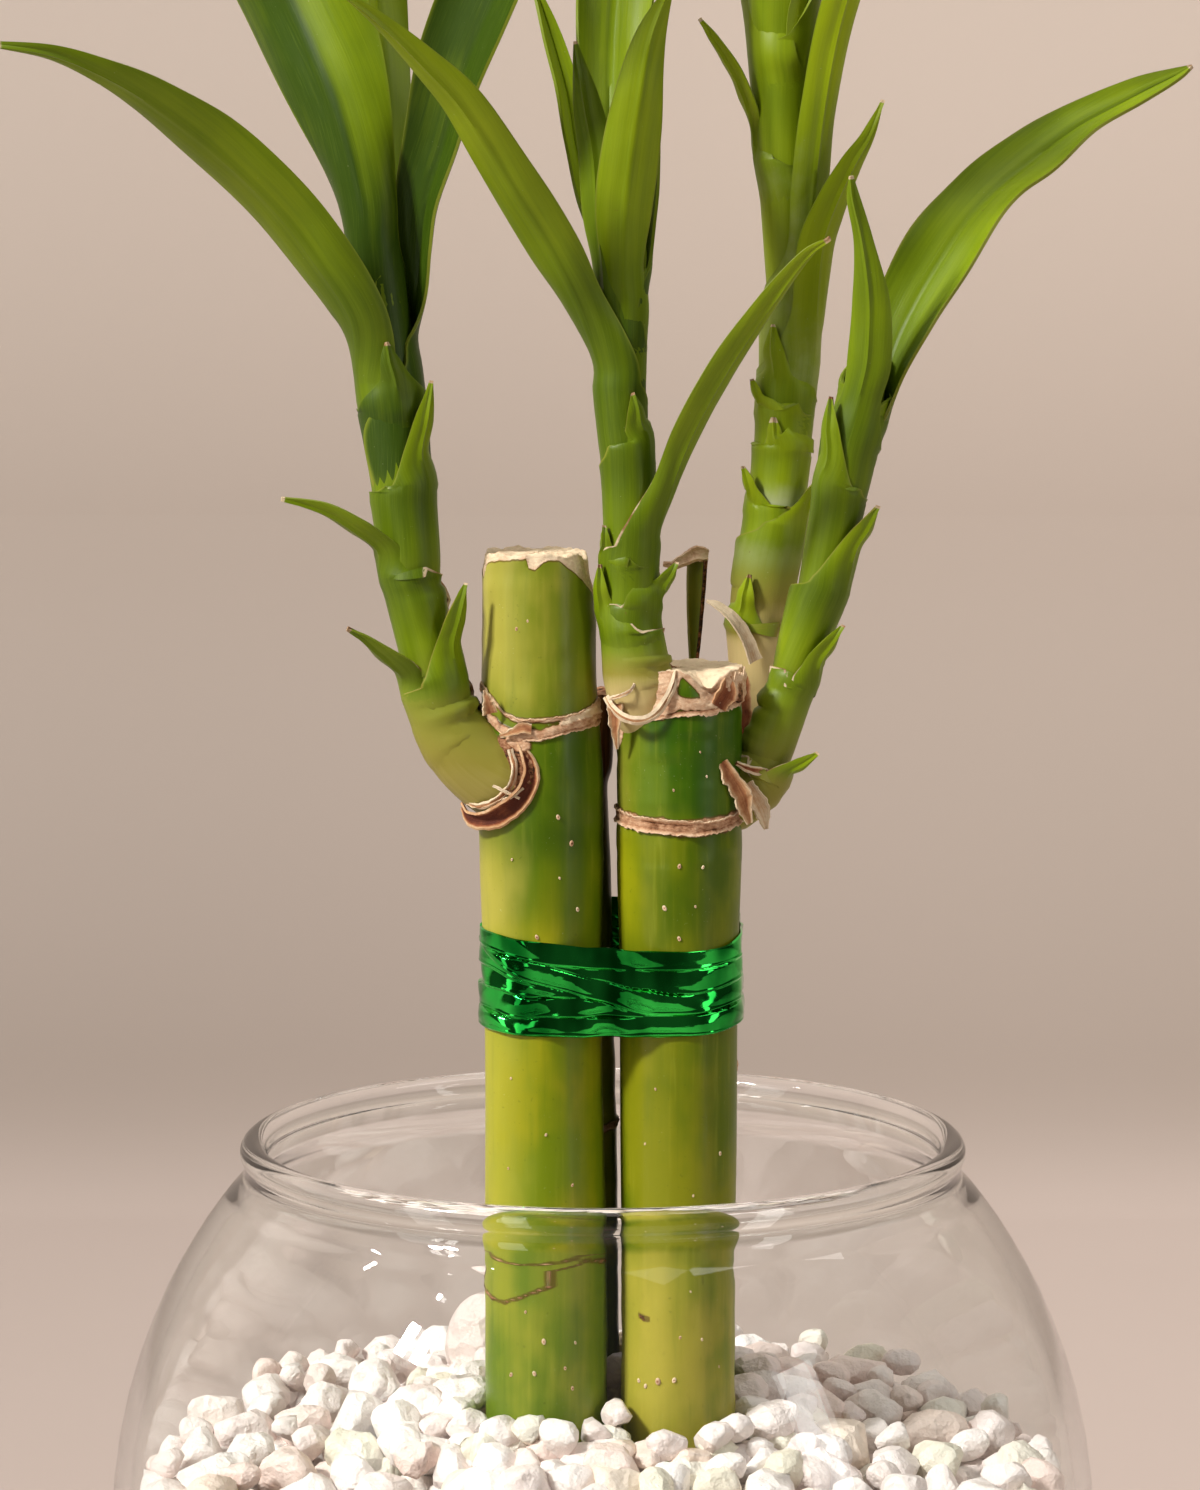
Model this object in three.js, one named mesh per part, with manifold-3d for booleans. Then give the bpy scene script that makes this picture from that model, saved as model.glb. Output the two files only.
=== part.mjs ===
// Lucky bamboo: four cut canes tied with a foil band, standing in white pebbles in a glass bowl.
// Millimetres, +Z up. The origin is the centre of the bowl's underside and the front looks to -Y.
import * as THREE from 'three';
import { mergeVertices } from 'three/addons/utils/BufferGeometryUtils.js';
import Module from 'manifold-3d';

const wasm = await Module();
wasm.setup();

// Clearance kept between pieces that touch
const GAP = 0.35;

// Bowl: two half ellipses that meet at the belly, a flat foot and a rolled rim
const BELLY_RADIUS = 69.5;
const BELLY_HEIGHT = 54;
const UPPER_REACH = 74;
const LOWER_REACH = 64;
const GLASS_WALL = 2.4;
const GLASS_FLOOR = 4;
const SHOULDER_HEIGHT = 103;
const RIM_RADIUS = 49.2;
const RIM_HEIGHT = 108.2;
const BEAD_HALF_WIDTH = 1.85;
const BEAD_HALF_HEIGHT = 2.0;
const FOOT_CHAMFER = 0.6;
const BOWL_SIDES = 36;

// The bigger pebbles, few-sided here: from a biggest to a smallest radius, and how many places are tried
const STONE_DRAWS = [
  { biggest: 5.4, smallest: 5.1, tries: 260 },
  { biggest: 5.1, smallest: 4.8, tries: 240 },
];
const STONE_SEED = 31;
const STONE_CLOSENESS = 0.97;
const STONE_DENT = 0.16;
const STONE_FLATNESS = 0.8;
const STONE_FOOT = 0.45;
const STONE_TOP_SHARE = 0.62;
const STONE_WALL_GAP = 1.3;
const STONE_LOW_INSET = 2.2;
const STONE_CANE_SHARE = 0.8;
const BED_CORE_SIDES = 24;
const BED_CORE_INSET = 3.2;
const BED_CORE_DEPTH = 2.6;
const BED_TOP = 67.2;
const BED_RISE = 8;
const BED_RISE_REACH = 34;
const BED_BACK_RISE = 2.5;
const BED_HEAP = { x: -40, y: 22, height: 2.2, reach: 17 };

// The one big smooth white stone that stands behind the left cane
const WHITE_STONE = { x: -16.8, y: 20, z: 74.8, radius: 6.2, stretch: 1.48 };

// Canes: foot and head are centres seen from above, rows are height and radius from foot to cut top
const CANE_SIDES = 16;
const CANE_FOOT = 12;
const BEND_HEIGHT = 88;
const RING_SWELL = 0.6;
const RING_HALF = 1.3;
const CANES = {
  cane_left: {
    foot: [-7.9, -9], head: [-8.9, -9], color: 0x8a9a2c, facet: { from: 0, slope: 0.65 },
    rows: [[CANE_FOOT, 8.3], [60, 8.4], [90, 8.5], [122, 8.1], [136, 8.1], [150, 8.5], [163, 8.6],
      [172, 8.0], [184, 7.8], [192.8, 7.7]],
    rings: [[92, 0.12], [168.5, 0.14], [171.8, 0.02]],
  },
  cane_right: {
    foot: [10.5, -9], head: [10.5, -9], color: 0x8f9f2e, facet: null,
    rows: [[CANE_FOOT, 7.8], [60, 7.9], [90, 7.9], [122, 8.1], [136, 8.2], [150, 8.6], [160, 8.5],
      [168, 8.6], [174, 8.5], [177.3, 8.1]],
    rings: [[156.4, 0.02], [172.5, 0]],
  },
  cane_back_left: {
    foot: [-5.7, 9.7], head: [-6.9, 9.7], color: 0x55551c, facet: null,
    rows: [[CANE_FOOT, 7.9], [60, 8.0], [90, 8.0], [136, 7.8], [150, 7.6], [158, 7.4], [162, 8.2],
      [172.3, 8.3]],
    rings: [[110, 0]],
  },
  cane_back_right: {
    foot: [11.1, 9.7], head: [10.9, 9.7], color: 0x5f6a1e, facet: null,
    rows: [[CANE_FOOT, 7.8], [60, 7.9], [90, 7.9], [136, 7.9], [158, 8.0], [168, 7.9], [173, 7.7]],
    rings: [[118, 0], [165, 0]],
  },
};

// Dry sliver of rind that stands above the back right cut: centre and width
const SLIVER_ROWS = [[13, 13.6, 168, 2.2], [13.2, 14, 178, 1.6], [13.4, 14, 184, 2.6], [13.6, 14, 189.6, 3]];
const SLIVER_LIP = [[14.2, 14, 188.8, 3], [11.5, 13.2, 189.6, 3], [9.2, 12.6, 187.6, 2.4]];

// Foil band: a closed ring drawn round the four canes
const BAND_BOTTOM = 127.4;
const BAND_TOP = 140.6;
const BAND_THICKNESS = 0.8;
const BAND_RIDGE = 0.35;
const BAND_WINDS = 4;
const BAND_STATIONS = 36;

// Leaves and scales
const BLADE_THICKNESS = 0.8;
const TIP_WIDTH = 0.9;
const RIPPLE_PACE = 2.6;
const RIPPLE_SHIFT = 1.7;
const STEM_SIDES = 10;

// How far a fused surface may be flattened to lose needless corners
const SIMPLIFY_REACH = 0.06;
const BED_SIMPLIFY_REACH = 0.5;

// Each shoot: the stem and its blades as rows of centre x, y, z and full width.
// A blade's face is the way that its upper side looks, its fold how deep its trough is.
const SHOOTS = {
  left: {
    cane: 'cane_left', near: ['cane_back_left'], color: 0x6f9a35,
    stem: [[-11, -10.5, 161, 13], [-15, -11, 163, 12.4], [-18.6, -11.6, 165.8, 11],
      [-21.6, -12, 169.8, 9.4], [-23, -12.2, 175, 7.9], [-24.5, -12.2, 182, 7.4], [-25.8, -12, 190, 7.9],
      [-27, -11.6, 200, 7.9], [-28.3, -11, 211, 8.3], [-29.4, -10.6, 222, 7.6], [-30, -10.2, 234, 5.2],
      [-30.4, -9.8, 244, 2.6]],
    blades: [
      { face: [0.35, -0.8, 0.5], fold: 0.3, steps: 15, wave: 0,
        rows: [[-27.5, -12, 206, 6.5], [-30.3, -14, 219, 8], [-35.8, -17, 228.4, 8.6],
          [-41.2, -21, 236.8, 9.6], [-51.3, -26, 247.2, 9], [-60, -31, 254, 6], [-65.2, -34, 256.9, 3.4],
          [-71.4, -37, 259.3, 1.9], [-79, -40.5, 260.4, 0.9]] },
      { face: [0.3, -0.9, 0.2], fold: 0.3, steps: 14, wave: 0.6,
        rows: [[-29.4, -10.6, 221, 7], [-31, -11.5, 233, 8], [-32.4, -11.5, 241.4, 9.6],
          [-35.8, -10, 254, 13], [-42.2, -7, 267.5, 18], [-50.5, -2, 282, 19], [-60.5, 5, 296, 14],
          [-69.5, 12, 306, 7.5], [-77, 18, 311, 1]] },
      { face: [0.5, -0.8, 0], fold: 0.25, steps: 8, wave: 0,
        rows: [[-29.6, -8.6, 232, 4.6], [-29.2, 0, 250, 5], [-31.2, 9, 268.3, 7.5], [-35, 19, 288, 8],
          [-41, 28, 304, 5], [-47, 35, 315, 1]] },
      { face: [-0.45, -0.85, 0.2], fold: 0.4, steps: 13, wave: 0,
        rows: [[-27.6, -10.6, 217, 6], [-25.6, -12, 231, 6.4], [-24.7, -13, 240.4, 8.4],
          [-22.9, -14.5, 249.4, 11], [-18.1, -17.5, 260, 14], [-13, -21, 270, 15.5],
          [-5.5, -25, 284, 14.5], [3, -29, 296, 9], [10.5, -32, 304, 1]] },
      { face: [0.6, -0.6, 0.5], fold: 0.3, steps: 5, wave: 0,
        rows: [[-19.5, -13, 172, 7], [-24.4, -16, 176.2, 5.6], [-29, -18, 180.2, 3.8],
          [-34.4, -20, 183.3, 0.9]] },
      { face: [0.4, -0.6, 0.7], fold: 0.3, steps: 5, wave: 0,
        rows: [[-25.4, -13, 184, 6], [-30.3, -15.2, 191.8, 4.4], [-36.2, -17, 197.7, 2.8],
          [-43.2, -19, 200.8, 0.9]] },
      { face: [-0.5, -0.85, 0.2], fold: 0.3, steps: 4, wave: 0,
        rows: [[-21.6, -13.4, 172.6, 6], [-19.6, -15.2, 180.4, 5], [-18.7, -15.4, 189.1, 0.9]] },
      { face: [-0.5, -0.85, 0.1], fold: 0.3, steps: 4, wave: 0,
        rows: [[-26, -13.4, 197.6, 5.4], [-24.3, -15, 207.4, 4], [-23.2, -15.2, 216.4, 0.9]] },
    ],
  },
  middle: {
    cane: 'cane_right', near: ['cane_left', 'cane_back_right', 'cane_back_left'], color: 0x5f9436,
    stem: [[7.5, -10.6, 167, 9.6], [5.6, -12.2, 171.4, 10.6], [5.0, -12.8, 175, 9.6], [4.4, -13, 179.4, 8],
      [3.9, -13, 184, 7.2], [3.8, -13, 191.8, 6.8], [3.6, -13, 202.6, 6.3], [2.7, -13, 211, 6.3],
      [2.4, -13, 220.4, 6.1], [2.6, -13, 230, 5.2], [2.8, -12.4, 240, 3.2]],
    blades: [
      { face: [0.35, -0.8, 0.5], fold: 0.3, steps: 14, wave: 0,
        rows: [[2.6, -14, 209, 5.4], [-1.4, -17, 221.2, 6.2], [-4.4, -20, 228.9, 6.8],
          [-7.7, -23, 235.3, 7], [-11.3, -26, 241.4, 6.8], [-18, -31, 252, 5.8], [-23.1, -34, 257.8, 4.2],
          [-28.7, -37, 263.2, 2], [-33.4, -39.4, 266.8, 0.9]] },
      { face: [0.5, -0.85, 0], fold: 0.25, steps: 8, wave: 0,
        rows: [[1.2, -12, 220, 4], [-2.2, -8.6, 237.8, 3.2], [-3.8, -6.4, 248.4, 3.4],
          [-5, -5, 255.4, 3.4], [-7.4, -3.6, 264, 2.6], [-9.8, -2.4, 271, 0.9]] },
      { face: [0.2, -1, 0], fold: 0.25, steps: 7, wave: 0,
        rows: [[1.8, -14, 224, 4], [-0.2, -15.4, 238.6, 4.6], [-0.9, -15.8, 246, 5.2],
          [-2.4, -16, 254, 3.8], [-3.7, -16, 261.6, 0.9]] },
      { face: [-0.15, -1, 0.1], fold: 0.3, steps: 12, wave: 0,
        rows: [[2.6, -14.4, 219, 5.6], [2.7, -17, 229.9, 6], [2.6, -18.6, 238.6, 7.4],
          [3.6, -19.6, 245.2, 7.9], [4.6, -20.4, 252.3, 7], [6.3, -21.2, 261.7, 4],
          [9.3, -22, 269.6, 0.9]] },
      { face: [0.1, -1, -0.1], fold: 0.35, steps: 9, wave: 0.4,
        rows: [[2.6, -11.6, 226, 4.6], [0.8, -6, 241, 5.4], [0.4, -2, 252, 7], [1.2, 2, 264, 10.4],
          [2.4, 5, 280, 12], [3.4, 7, 296, 9], [4.4, 8.4, 309, 4], [5, 9, 315, 0.9]] },
      { face: [-0.7, -0.7, 0], fold: 0.25, steps: 5, wave: 0,
        rows: [[4.4, -12, 221, 4], [5.6, -9, 232, 4], [6.8, -7, 243, 3], [7.6, -5.4, 254, 0.9]] },
      { face: [-0.4, -0.85, 0.4], fold: 0.35, steps: 10, wave: 0,
        rows: [[6, -14, 189, 4.4], [7.8, -16, 201, 5], [11.7, -19, 209.7, 5], [16.6, -23, 218.6, 5],
          [21.8, -27, 226.6, 4], [26.5, -30, 233.1, 2], [29.6, -32, 235.6, 0.9]] },
      { face: [0.6, -0.8, 0.2], fold: 0.3, steps: 3, wave: 0,
        rows: [[2.4, -14, 182, 5], [0.4, -15.6, 187.4, 3.6], [-0.4, -15.8, 191.6, 0.9]] },
      { face: [-0.5, -0.8, 0.3], fold: 0.3, steps: 3, wave: 0,
        rows: [[5.8, -13.6, 181.6, 5], [8.4, -14.8, 187.4, 3.4], [9.9, -15, 191.9, 0.9]] },
    ],
  },
  back: {
    cane: 'cane_back_right', near: ['cane_right'], color: 0x6d9c4c,
    stem: [[15.4, 9.9, 159, 8], [18.8, 10, 163, 8.6], [21, 10.2, 168, 8.4], [21.6, 10.5, 173, 7.2],
      [22, 11, 179, 8], [22.6, 11.5, 185, 8.8], [23.8, 12, 192.4, 8.2], [25.1, 13, 202, 7.6],
      [26.1, 14, 214, 7.4], [26.4, 14, 227, 7.3], [26.2, 14, 241, 7.7], [25.4, 14, 256, 7.9],
      [25.2, 14, 269, 8.6], [25.6, 13.8, 281, 6.6], [26, 13.6, 294, 3.4]],
    blades: [
      { face: [0.2, -0.7, 0.7], fold: 0.3, steps: 12, wave: 0.6,
        rows: [[24.4, 14, 266, 8], [21.6, 15, 285, 10], [14.6, 17, 305, 15], [3, 20, 322, 13.5],
          [-9, 23, 331, 7], [-18, 25, 334, 1]] },
      { face: [-0.3, -0.6, 0.75], fold: 0.3, steps: 12, wave: 0.6,
        rows: [[27, 14.4, 270, 7.6], [31, 16.5, 289, 10], [39, 19.5, 309, 14.5], [51, 23, 325, 11.5],
          [62, 26, 332, 5], [69, 28, 333, 1]] },
      { face: [0, 0.75, 0.65], fold: 0.3, steps: 12, wave: 0.6,
        rows: [[26, 12.4, 276, 7], [26, 9.5, 296, 10], [27, 4, 318, 14], [29, -5, 335, 11],
          [31, -14, 344, 4.6], [32, -20, 346, 1]] },
      { face: [0, -0.75, 0.65], fold: 0.3, steps: 12, wave: 0.6,
        rows: [[25.6, 15.6, 278, 6.6], [24.6, 19.6, 300, 10], [23, 27, 321, 13], [21, 37, 337, 9],
          [19, 46, 344, 3.6], [18, 51, 345, 1]] },
      { face: [0, -1, 0.1], fold: 0.6, steps: 5, wave: 0,
        rows: [[26, 13.6, 288, 4.4], [26.6, 13.6, 310, 4.8], [27.6, 13.2, 331, 3.2],
          [28.4, 12.4, 348, 0.9]] },
      { face: [-0.75, -0.65, 0], fold: 0.3, steps: 9, wave: 0,
        rows: [[27.6, 11.6, 228, 5.6], [28.9, 9.4, 241, 6.4], [29.6, 8.6, 252, 5.6], [33.2, 8, 267, 6.4],
          [39, 7.6, 284, 7], [46, 7, 298, 4.4], [52, 6.4, 307, 0.9]] },
      { face: [-0.5, -0.85, 0.1], fold: 0.3, steps: 8, wave: 0,
        rows: [[26.8, 11.2, 207, 6.4], [28.2, 8.6, 222, 6.6], [30.3, 7.4, 236.6, 6.2],
          [34.3, 6.4, 244.8, 3.8], [36.8, 6, 249.4, 2], [38.8, 6, 254.5, 0.9]] },
      { face: [0.4, -0.9, 0], fold: 0.25, steps: 7, wave: 0,
        rows: [[24.6, 12, 236, 5], [22.4, 9.6, 248, 3.6], [20.4, 9, 254, 3.6], [18.2, 8.8, 259, 3.2],
          [15.4, 8.6, 263.4, 1.8], [13.5, 8.6, 265.8, 0.9]] },
      { face: [-0.5, -0.8, 0.2], fold: 0.3, steps: 4, wave: 0,
        rows: [[24.6, 10, 187, 6], [28, 7.8, 195.4, 4.4], [30.7, 7.2, 202.3, 0.9]] },
      { face: [0.7, -0.7, 0.1], fold: 0.3, steps: 4, wave: 0,
        rows: [[23.4, 11.6, 201, 5], [21.6, 10, 208.6, 3.6], [20.6, 9.8, 215.8, 0.9]] },
      { face: [0.4, -0.6, 0.7], fold: 0.2, steps: 4, wave: 0,
        rows: [[21.8, 9.4, 177, 4.4], [18, 8, 181.6, 3], [14.6, 8, 184.8, 1.2]] },
    ],
  },
  right: {
    cane: 'cane_right', near: ['cane_back_right'], color: 0x6f9a33,
    stem: [[15, -8.6, 154.6, 9], [18.6, -7.6, 157, 9], [21, -7, 161, 8.2], [23.2, -6.6, 166.6, 7],
      [25.2, -6.4, 172, 6], [27.6, -6.2, 180.4, 6.2], [29.5, -6, 186, 6.8], [30.8, -5.8, 191.6, 6.4],
      [32.6, -5.6, 199.6, 6.8], [33.9, -5.4, 206.8, 7], [35.8, -5.2, 214, 6.2], [37, -5, 222, 3]],
    blades: [
      { face: [0.5, -0.85, 0.1], fold: 0.3, steps: 9, wave: 0,
        rows: [[34, -6.4, 204, 6.4], [35.8, -9, 217, 6.4], [36.1, -11, 226, 5.2], [35.1, -13, 235, 2.6],
          [33.7, -14.5, 240.6, 1.6], [33.3, -15, 243.8, 0.9]] },
      { face: [-0.35, -0.8, 0.5], fold: 0.3, steps: 16, wave: 0.5,
        rows: [[36.8, -5.6, 206, 6.4], [38.8, -5.5, 215.4, 8.6], [41.5, -4, 223.7, 11],
          [47.7, -1, 234.5, 11.4], [53.5, 3, 241.4, 10.6], [59.4, 7, 246, 9.4], [66.7, 11, 251.2, 7.4],
          [74.8, 15, 255.4, 5.2], [80.8, 18, 258.2, 2.2], [83.3, 19.4, 259.6, 0.9]] },
      { face: [0.7, -0.7, 0.1], fold: 0.3, steps: 4, wave: 0,
        rows: [[33, -7, 197, 6], [31.6, -8.6, 205.6, 4.4], [31.1, -8.8, 214, 0.9]] },
      { face: [-0.5, -0.8, 0.3], fold: 0.3, steps: 4, wave: 0,
        rows: [[32, -6.8, 185, 6], [35.2, -7.8, 192.4, 4], [37.6, -8, 199.1, 0.9]] },
      { face: [-0.4, -0.8, 0.4], fold: 0.3, steps: 3, wave: 0,
        rows: [[28, -7.4, 172.6, 5.6], [31, -8.8, 177.8, 3.8], [32.8, -9, 182.9, 0.9]] },
      { face: [-0.4, -0.8, 0.4], fold: 0.3, steps: 3, wave: 0,
        rows: [[22.8, -8, 157.6, 5.6], [26.8, -9.4, 161.4, 4], [29.7, -9.6, 165.2, 0.9]] },
    ],
  },
};

// Dry collars round the shoots' roots: the stretch of stem they wrap, wall and tooth depth
const COLLARS = {
  left: { from: 0.06, to: 0.155, wall: 1.5, tooth: 1.6, color: 0x9a6a42 },
  middle: { from: 0.1, to: 0.19, wall: 1.6, tooth: 1.8, color: 0xc9a080 },
  back: { from: 0.09, to: 0.17, wall: 1.3, tooth: 2.2, color: 0xb58a70 },
  right: { from: 0.06, to: 0.17, wall: 1.4, tooth: 1.6, color: 0xb5825a },
};
const COLLAR_SIDES = 14;

// A repeatable random draw
function makeRandom(seed) {
  let state = seed;
  return () => {
    state = (state + 0x6d2b79f5) | 0;
    let t = Math.imul(state ^ (state >>> 15), 1 | state);
    t = (t + Math.imul(t ^ (t >>> 7), 61 | t)) ^ t;
    return ((t ^ (t >>> 14)) >>> 0) / 4294967296;
  };
}

// Booleans
function toSolid(geometry) {
  const bare = geometry.clone();
  bare.deleteAttribute('normal');
  bare.deleteAttribute('uv');
  const merged = mergeVertices(bare, 1e-4);
  const index = merged.index.array;
  const corners = [];
  for (let i = 0; i < index.length; i += 3) {
    const [a, b, c] = [index[i], index[i + 1], index[i + 2]];
    if (a !== b && b !== c && c !== a) corners.push(a, b, c);
  }
  return new wasm.Manifold(new wasm.Mesh({
    numProp: 3,
    vertProperties: new Float32Array(merged.attributes.position.array),
    triVerts: new Uint32Array(corners),
  }));
}

function toGeometry(solid) {
  const mesh = solid.getMesh();
  const geometry = new THREE.BufferGeometry();
  geometry.setAttribute('position', new THREE.BufferAttribute(new Float32Array(mesh.vertProperties), 3));
  geometry.setIndex(new THREE.BufferAttribute(new Uint32Array(mesh.triVerts), 1));
  return geometry;
}

// The biggest body of a solid: loose scraps and sealed hollows are dropped
function mainBody(solid, reach = SIMPLIFY_REACH) {
  const bodies = solid.decompose();
  bodies.sort((a, b) => b.volume() - a.volume());
  return bodies[0].simplify(reach);
}

function joinAll(solids) {
  return solids.reduce((sum, next) => sum.add(next));
}

function cutAll(solid, tools) {
  return tools.reduce((rest, tool) => rest.subtract(tool), solid);
}

// A closed skin over rings of points, each ring anticlockwise seen from the far end
function loft(rings) {
  const count = rings[0].length;
  const points = rings.flat();
  const faces = [];
  for (let i = 0; i < rings.length - 1; i += 1) {
    for (let j = 0; j < count; j += 1) {
      const a = i * count + j;
      const b = i * count + (j + 1) % count;
      faces.push(a, b, b + count, a, b + count, a + count);
    }
  }
  const last = (rings.length - 1) * count;
  const centre = (ring) => ring.reduce((sum, p) => sum.add(p), new THREE.Vector3()).divideScalar(count);
  const low = points.push(centre(rings[0])) - 1;
  const high = points.push(centre(rings[rings.length - 1])) - 1;
  for (let j = 0; j < count; j += 1) {
    const next = (j + 1) % count;
    faces.push(low, next, j, high, last + j, last + next);
  }
  const geometry = new THREE.BufferGeometry().setFromPoints(points);
  geometry.setIndex(faces);
  return geometry;
}

// Point and width at t along rows of x, y, z, width
function makeRoute(rows) {
  const points = rows.map(([x, y, z]) => new THREE.Vector3(x, y, z));
  const curve = new THREE.CatmullRomCurve3(points, false, 'catmullrom', 0.5);
  const spans = rows.length - 1;
  return (t) => {
    const place = Math.min(t * spans, spans - 1e-6);
    const row = Math.floor(place);
    const width = THREE.MathUtils.lerp(rows[row][3], rows[row + 1][3], place - row);
    return { point: curve.getPoint(t), along: curve.getTangent(t), width };
  };
}

// Stem: round sections along a route, from t0 to t1, with the end ring's teeth if asked
function stemSolid(rows, options = {}) {
  const { grow = 0, from = 0, to = 1, sides = STEM_SIDES, steps = rows.length - 1, tooth = 0 } = options;
  const route = makeRoute(rows);
  const random = makeRandom(7);
  const across = new THREE.Vector3();
  const deep = new THREE.Vector3();
  const rings = [];
  for (let i = 0; i <= steps; i += 1) {
    const { point, along, width } = route(from + (to - from) * i / steps);
    across.crossVectors(new THREE.Vector3(0, 1, 0), along).normalize();
    deep.crossVectors(along, across);
    const ring = [];
    for (let j = 0; j < sides; j += 1) {
      const angle = 2 * Math.PI * j / sides;
      const p = point.clone();
      p.addScaledVector(across, (width / 2 + grow) * Math.cos(angle));
      p.addScaledVector(deep, (width / 2 + grow) * Math.sin(angle));
      if (i === steps && tooth > 0) p.addScaledVector(along, tooth * (random() - 0.5));
      ring.push(p);
    }
    rings.push(ring);
  }
  return toSolid(loft(rings));
}

// Blade: a thin trough along a route, both faces split into the same triangles
function bladeSolid({ rows, face, fold, steps, wave }) {
  const route = makeRoute(rows);
  const normal = new THREE.Vector3();
  const side = new THREE.Vector3();
  const top = [];
  const bottom = [];
  for (let i = 0; i <= steps; i += 1) {
    const t = i / steps;
    const { point, along, width } = route(t);
    side.crossVectors(along, new THREE.Vector3(...face)).normalize();
    normal.crossVectors(side, along).normalize();
    const half = Math.max(width, TIP_WIDTH) / 2;
    for (const k of [-1, 0, 1]) {
      const swing = Math.sin(RIPPLE_PACE * i + RIPPLE_SHIFT * k) * Math.sin(Math.PI * t);
      const ripple = wave * swing * Math.abs(k);
      const p = point.clone();
      p.addScaledVector(side, k * half);
      p.addScaledVector(normal, Math.abs(k) * fold * half + ripple);
      top.push(p.clone().addScaledVector(normal, BLADE_THICKNESS / 2));
      bottom.push(p.addScaledVector(normal, -BLADE_THICKNESS / 2));
    }
  }
  const under = top.length;
  const faces = [];
  for (let i = 0; i < steps; i += 1) {
    for (let k = 0; k < 2; k += 1) {
      const a = i * 3 + k;
      faces.push(a, a + 1, a + 4, a, a + 4, a + 3);
      faces.push(under + a, under + a + 4, under + a + 1, under + a, under + a + 3, under + a + 4);
    }
    const left = i * 3;
    const right = i * 3 + 2;
    faces.push(left, left + 3, under + left + 3, left, under + left + 3, under + left);
    faces.push(right, under + right + 3, right + 3, right, under + right, under + right + 3);
  }
  const end = steps * 3;
  for (let k = 0; k < 2; k += 1) {
    faces.push(k, under + k + 1, k + 1, k, under + k, under + k + 1);
    const e = end + k;
    faces.push(e, e + 1, under + e + 1, e, under + e + 1, under + e);
  }
  const geometry = new THREE.BufferGeometry().setFromPoints(top.concat(bottom));
  geometry.setIndex(faces);
  return toSolid(geometry);
}

// Radius of the bowl's wall at a height, this far inside its outer face
function wallRadius(z, inset) {
  const reach = z > BELLY_HEIGHT ? UPPER_REACH : LOWER_REACH;
  const rise = (z - BELLY_HEIGHT) / (reach - inset);
  return (BELLY_RADIUS - inset) * Math.sqrt(Math.max(0, 1 - rise * rise));
}

function bowlGeometry() {
  const profile = [new THREE.Vector2(0, 0)];
  for (const z of [0, 6, 18, 34, 54, 72, 86, 96, SHOULDER_HEIGHT]) {
    profile.push(new THREE.Vector2(wallRadius(z, 0) - (z === 0 ? FOOT_CHAMFER : 0), z));
  }
  for (let angle = -50; angle <= 220; angle += 45) {
    const turn = THREE.MathUtils.degToRad(angle);
    profile.push(new THREE.Vector2(
      RIM_RADIUS + BEAD_HALF_WIDTH * Math.cos(turn),
      RIM_HEIGHT + BEAD_HALF_HEIGHT * Math.sin(turn),
    ));
  }
  for (const z of [SHOULDER_HEIGHT, 94, 82, 68, 54, 36, 20, 9, GLASS_FLOOR]) {
    profile.push(new THREE.Vector2(wallRadius(z, GLASS_WALL), z));
  }
  profile.push(new THREE.Vector2(0, GLASS_FLOOR));
  const lathe = new THREE.LatheGeometry(profile, BOWL_SIDES);
  lathe.rotateX(Math.PI / 2);
  return toGeometry(toSolid(lathe));
}

// Centre of a cane at a height: upright in the pebbles and below the bend, leaning above it
function caneCentre(cane, z) {
  const top = cane.rows[cane.rows.length - 1][0];
  const t = Math.max(0, (z - BEND_HEIGHT) / (top - BEND_HEIGHT));
  return [
    THREE.MathUtils.lerp(cane.foot[0], cane.head[0], t),
    THREE.MathUtils.lerp(cane.foot[1], cane.head[1], t),
  ];
}

function caneRadius(cane, z) {
  const next = cane.rows.findIndex(([height]) => height >= z);
  if (next <= 0) return cane.rows[0][1];
  const [z0, r0] = cane.rows[next - 1];
  const [z1, r1] = cane.rows[next];
  return THREE.MathUtils.lerp(r0, r1, (z - z0) / (z1 - z0));
}

// Cane: round sections with a low ridge at each leaf scar, a flat or slanting cut on top
function caneSolid(cane, grow = 0) {
  const top = cane.rows[cane.rows.length - 1][0];
  const sections = cane.rows.map(([z, radius]) => ({ z, radius, tilt: 0 }));
  for (const [height, tilt] of cane.rings) {
    const radius = caneRadius(cane, height);
    sections.push({ z: height - RING_HALF, radius, tilt }, { z: height, radius: radius + RING_SWELL, tilt });
    sections.push({ z: height + RING_HALF, radius, tilt });
  }
  sections.sort((a, b) => a.z - b.z);
  const rings = sections.map(({ z, radius, tilt }, row) => {
    const [cx, cy] = caneCentre(cane, z);
    const low = row === 0 ? -grow : 0;
    const high = row === sections.length - 1 ? grow : 0;
    const ring = [];
    for (let j = 0; j < CANE_SIDES; j += 1) {
      const angle = 2 * Math.PI * (j + 0.5) / CANE_SIDES;
      const x = (radius + grow) * Math.cos(angle);
      const y = (radius + grow) * Math.sin(angle);
      const cut = z === top && cane.facet ? Math.max(0, (x - cane.facet.from) * cane.facet.slope) : 0;
      ring.push(new THREE.Vector3(cx + x, cy + y, z + tilt * x - cut + low + high));
    }
    return ring;
  });
  return toSolid(loft(rings));
}

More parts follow.
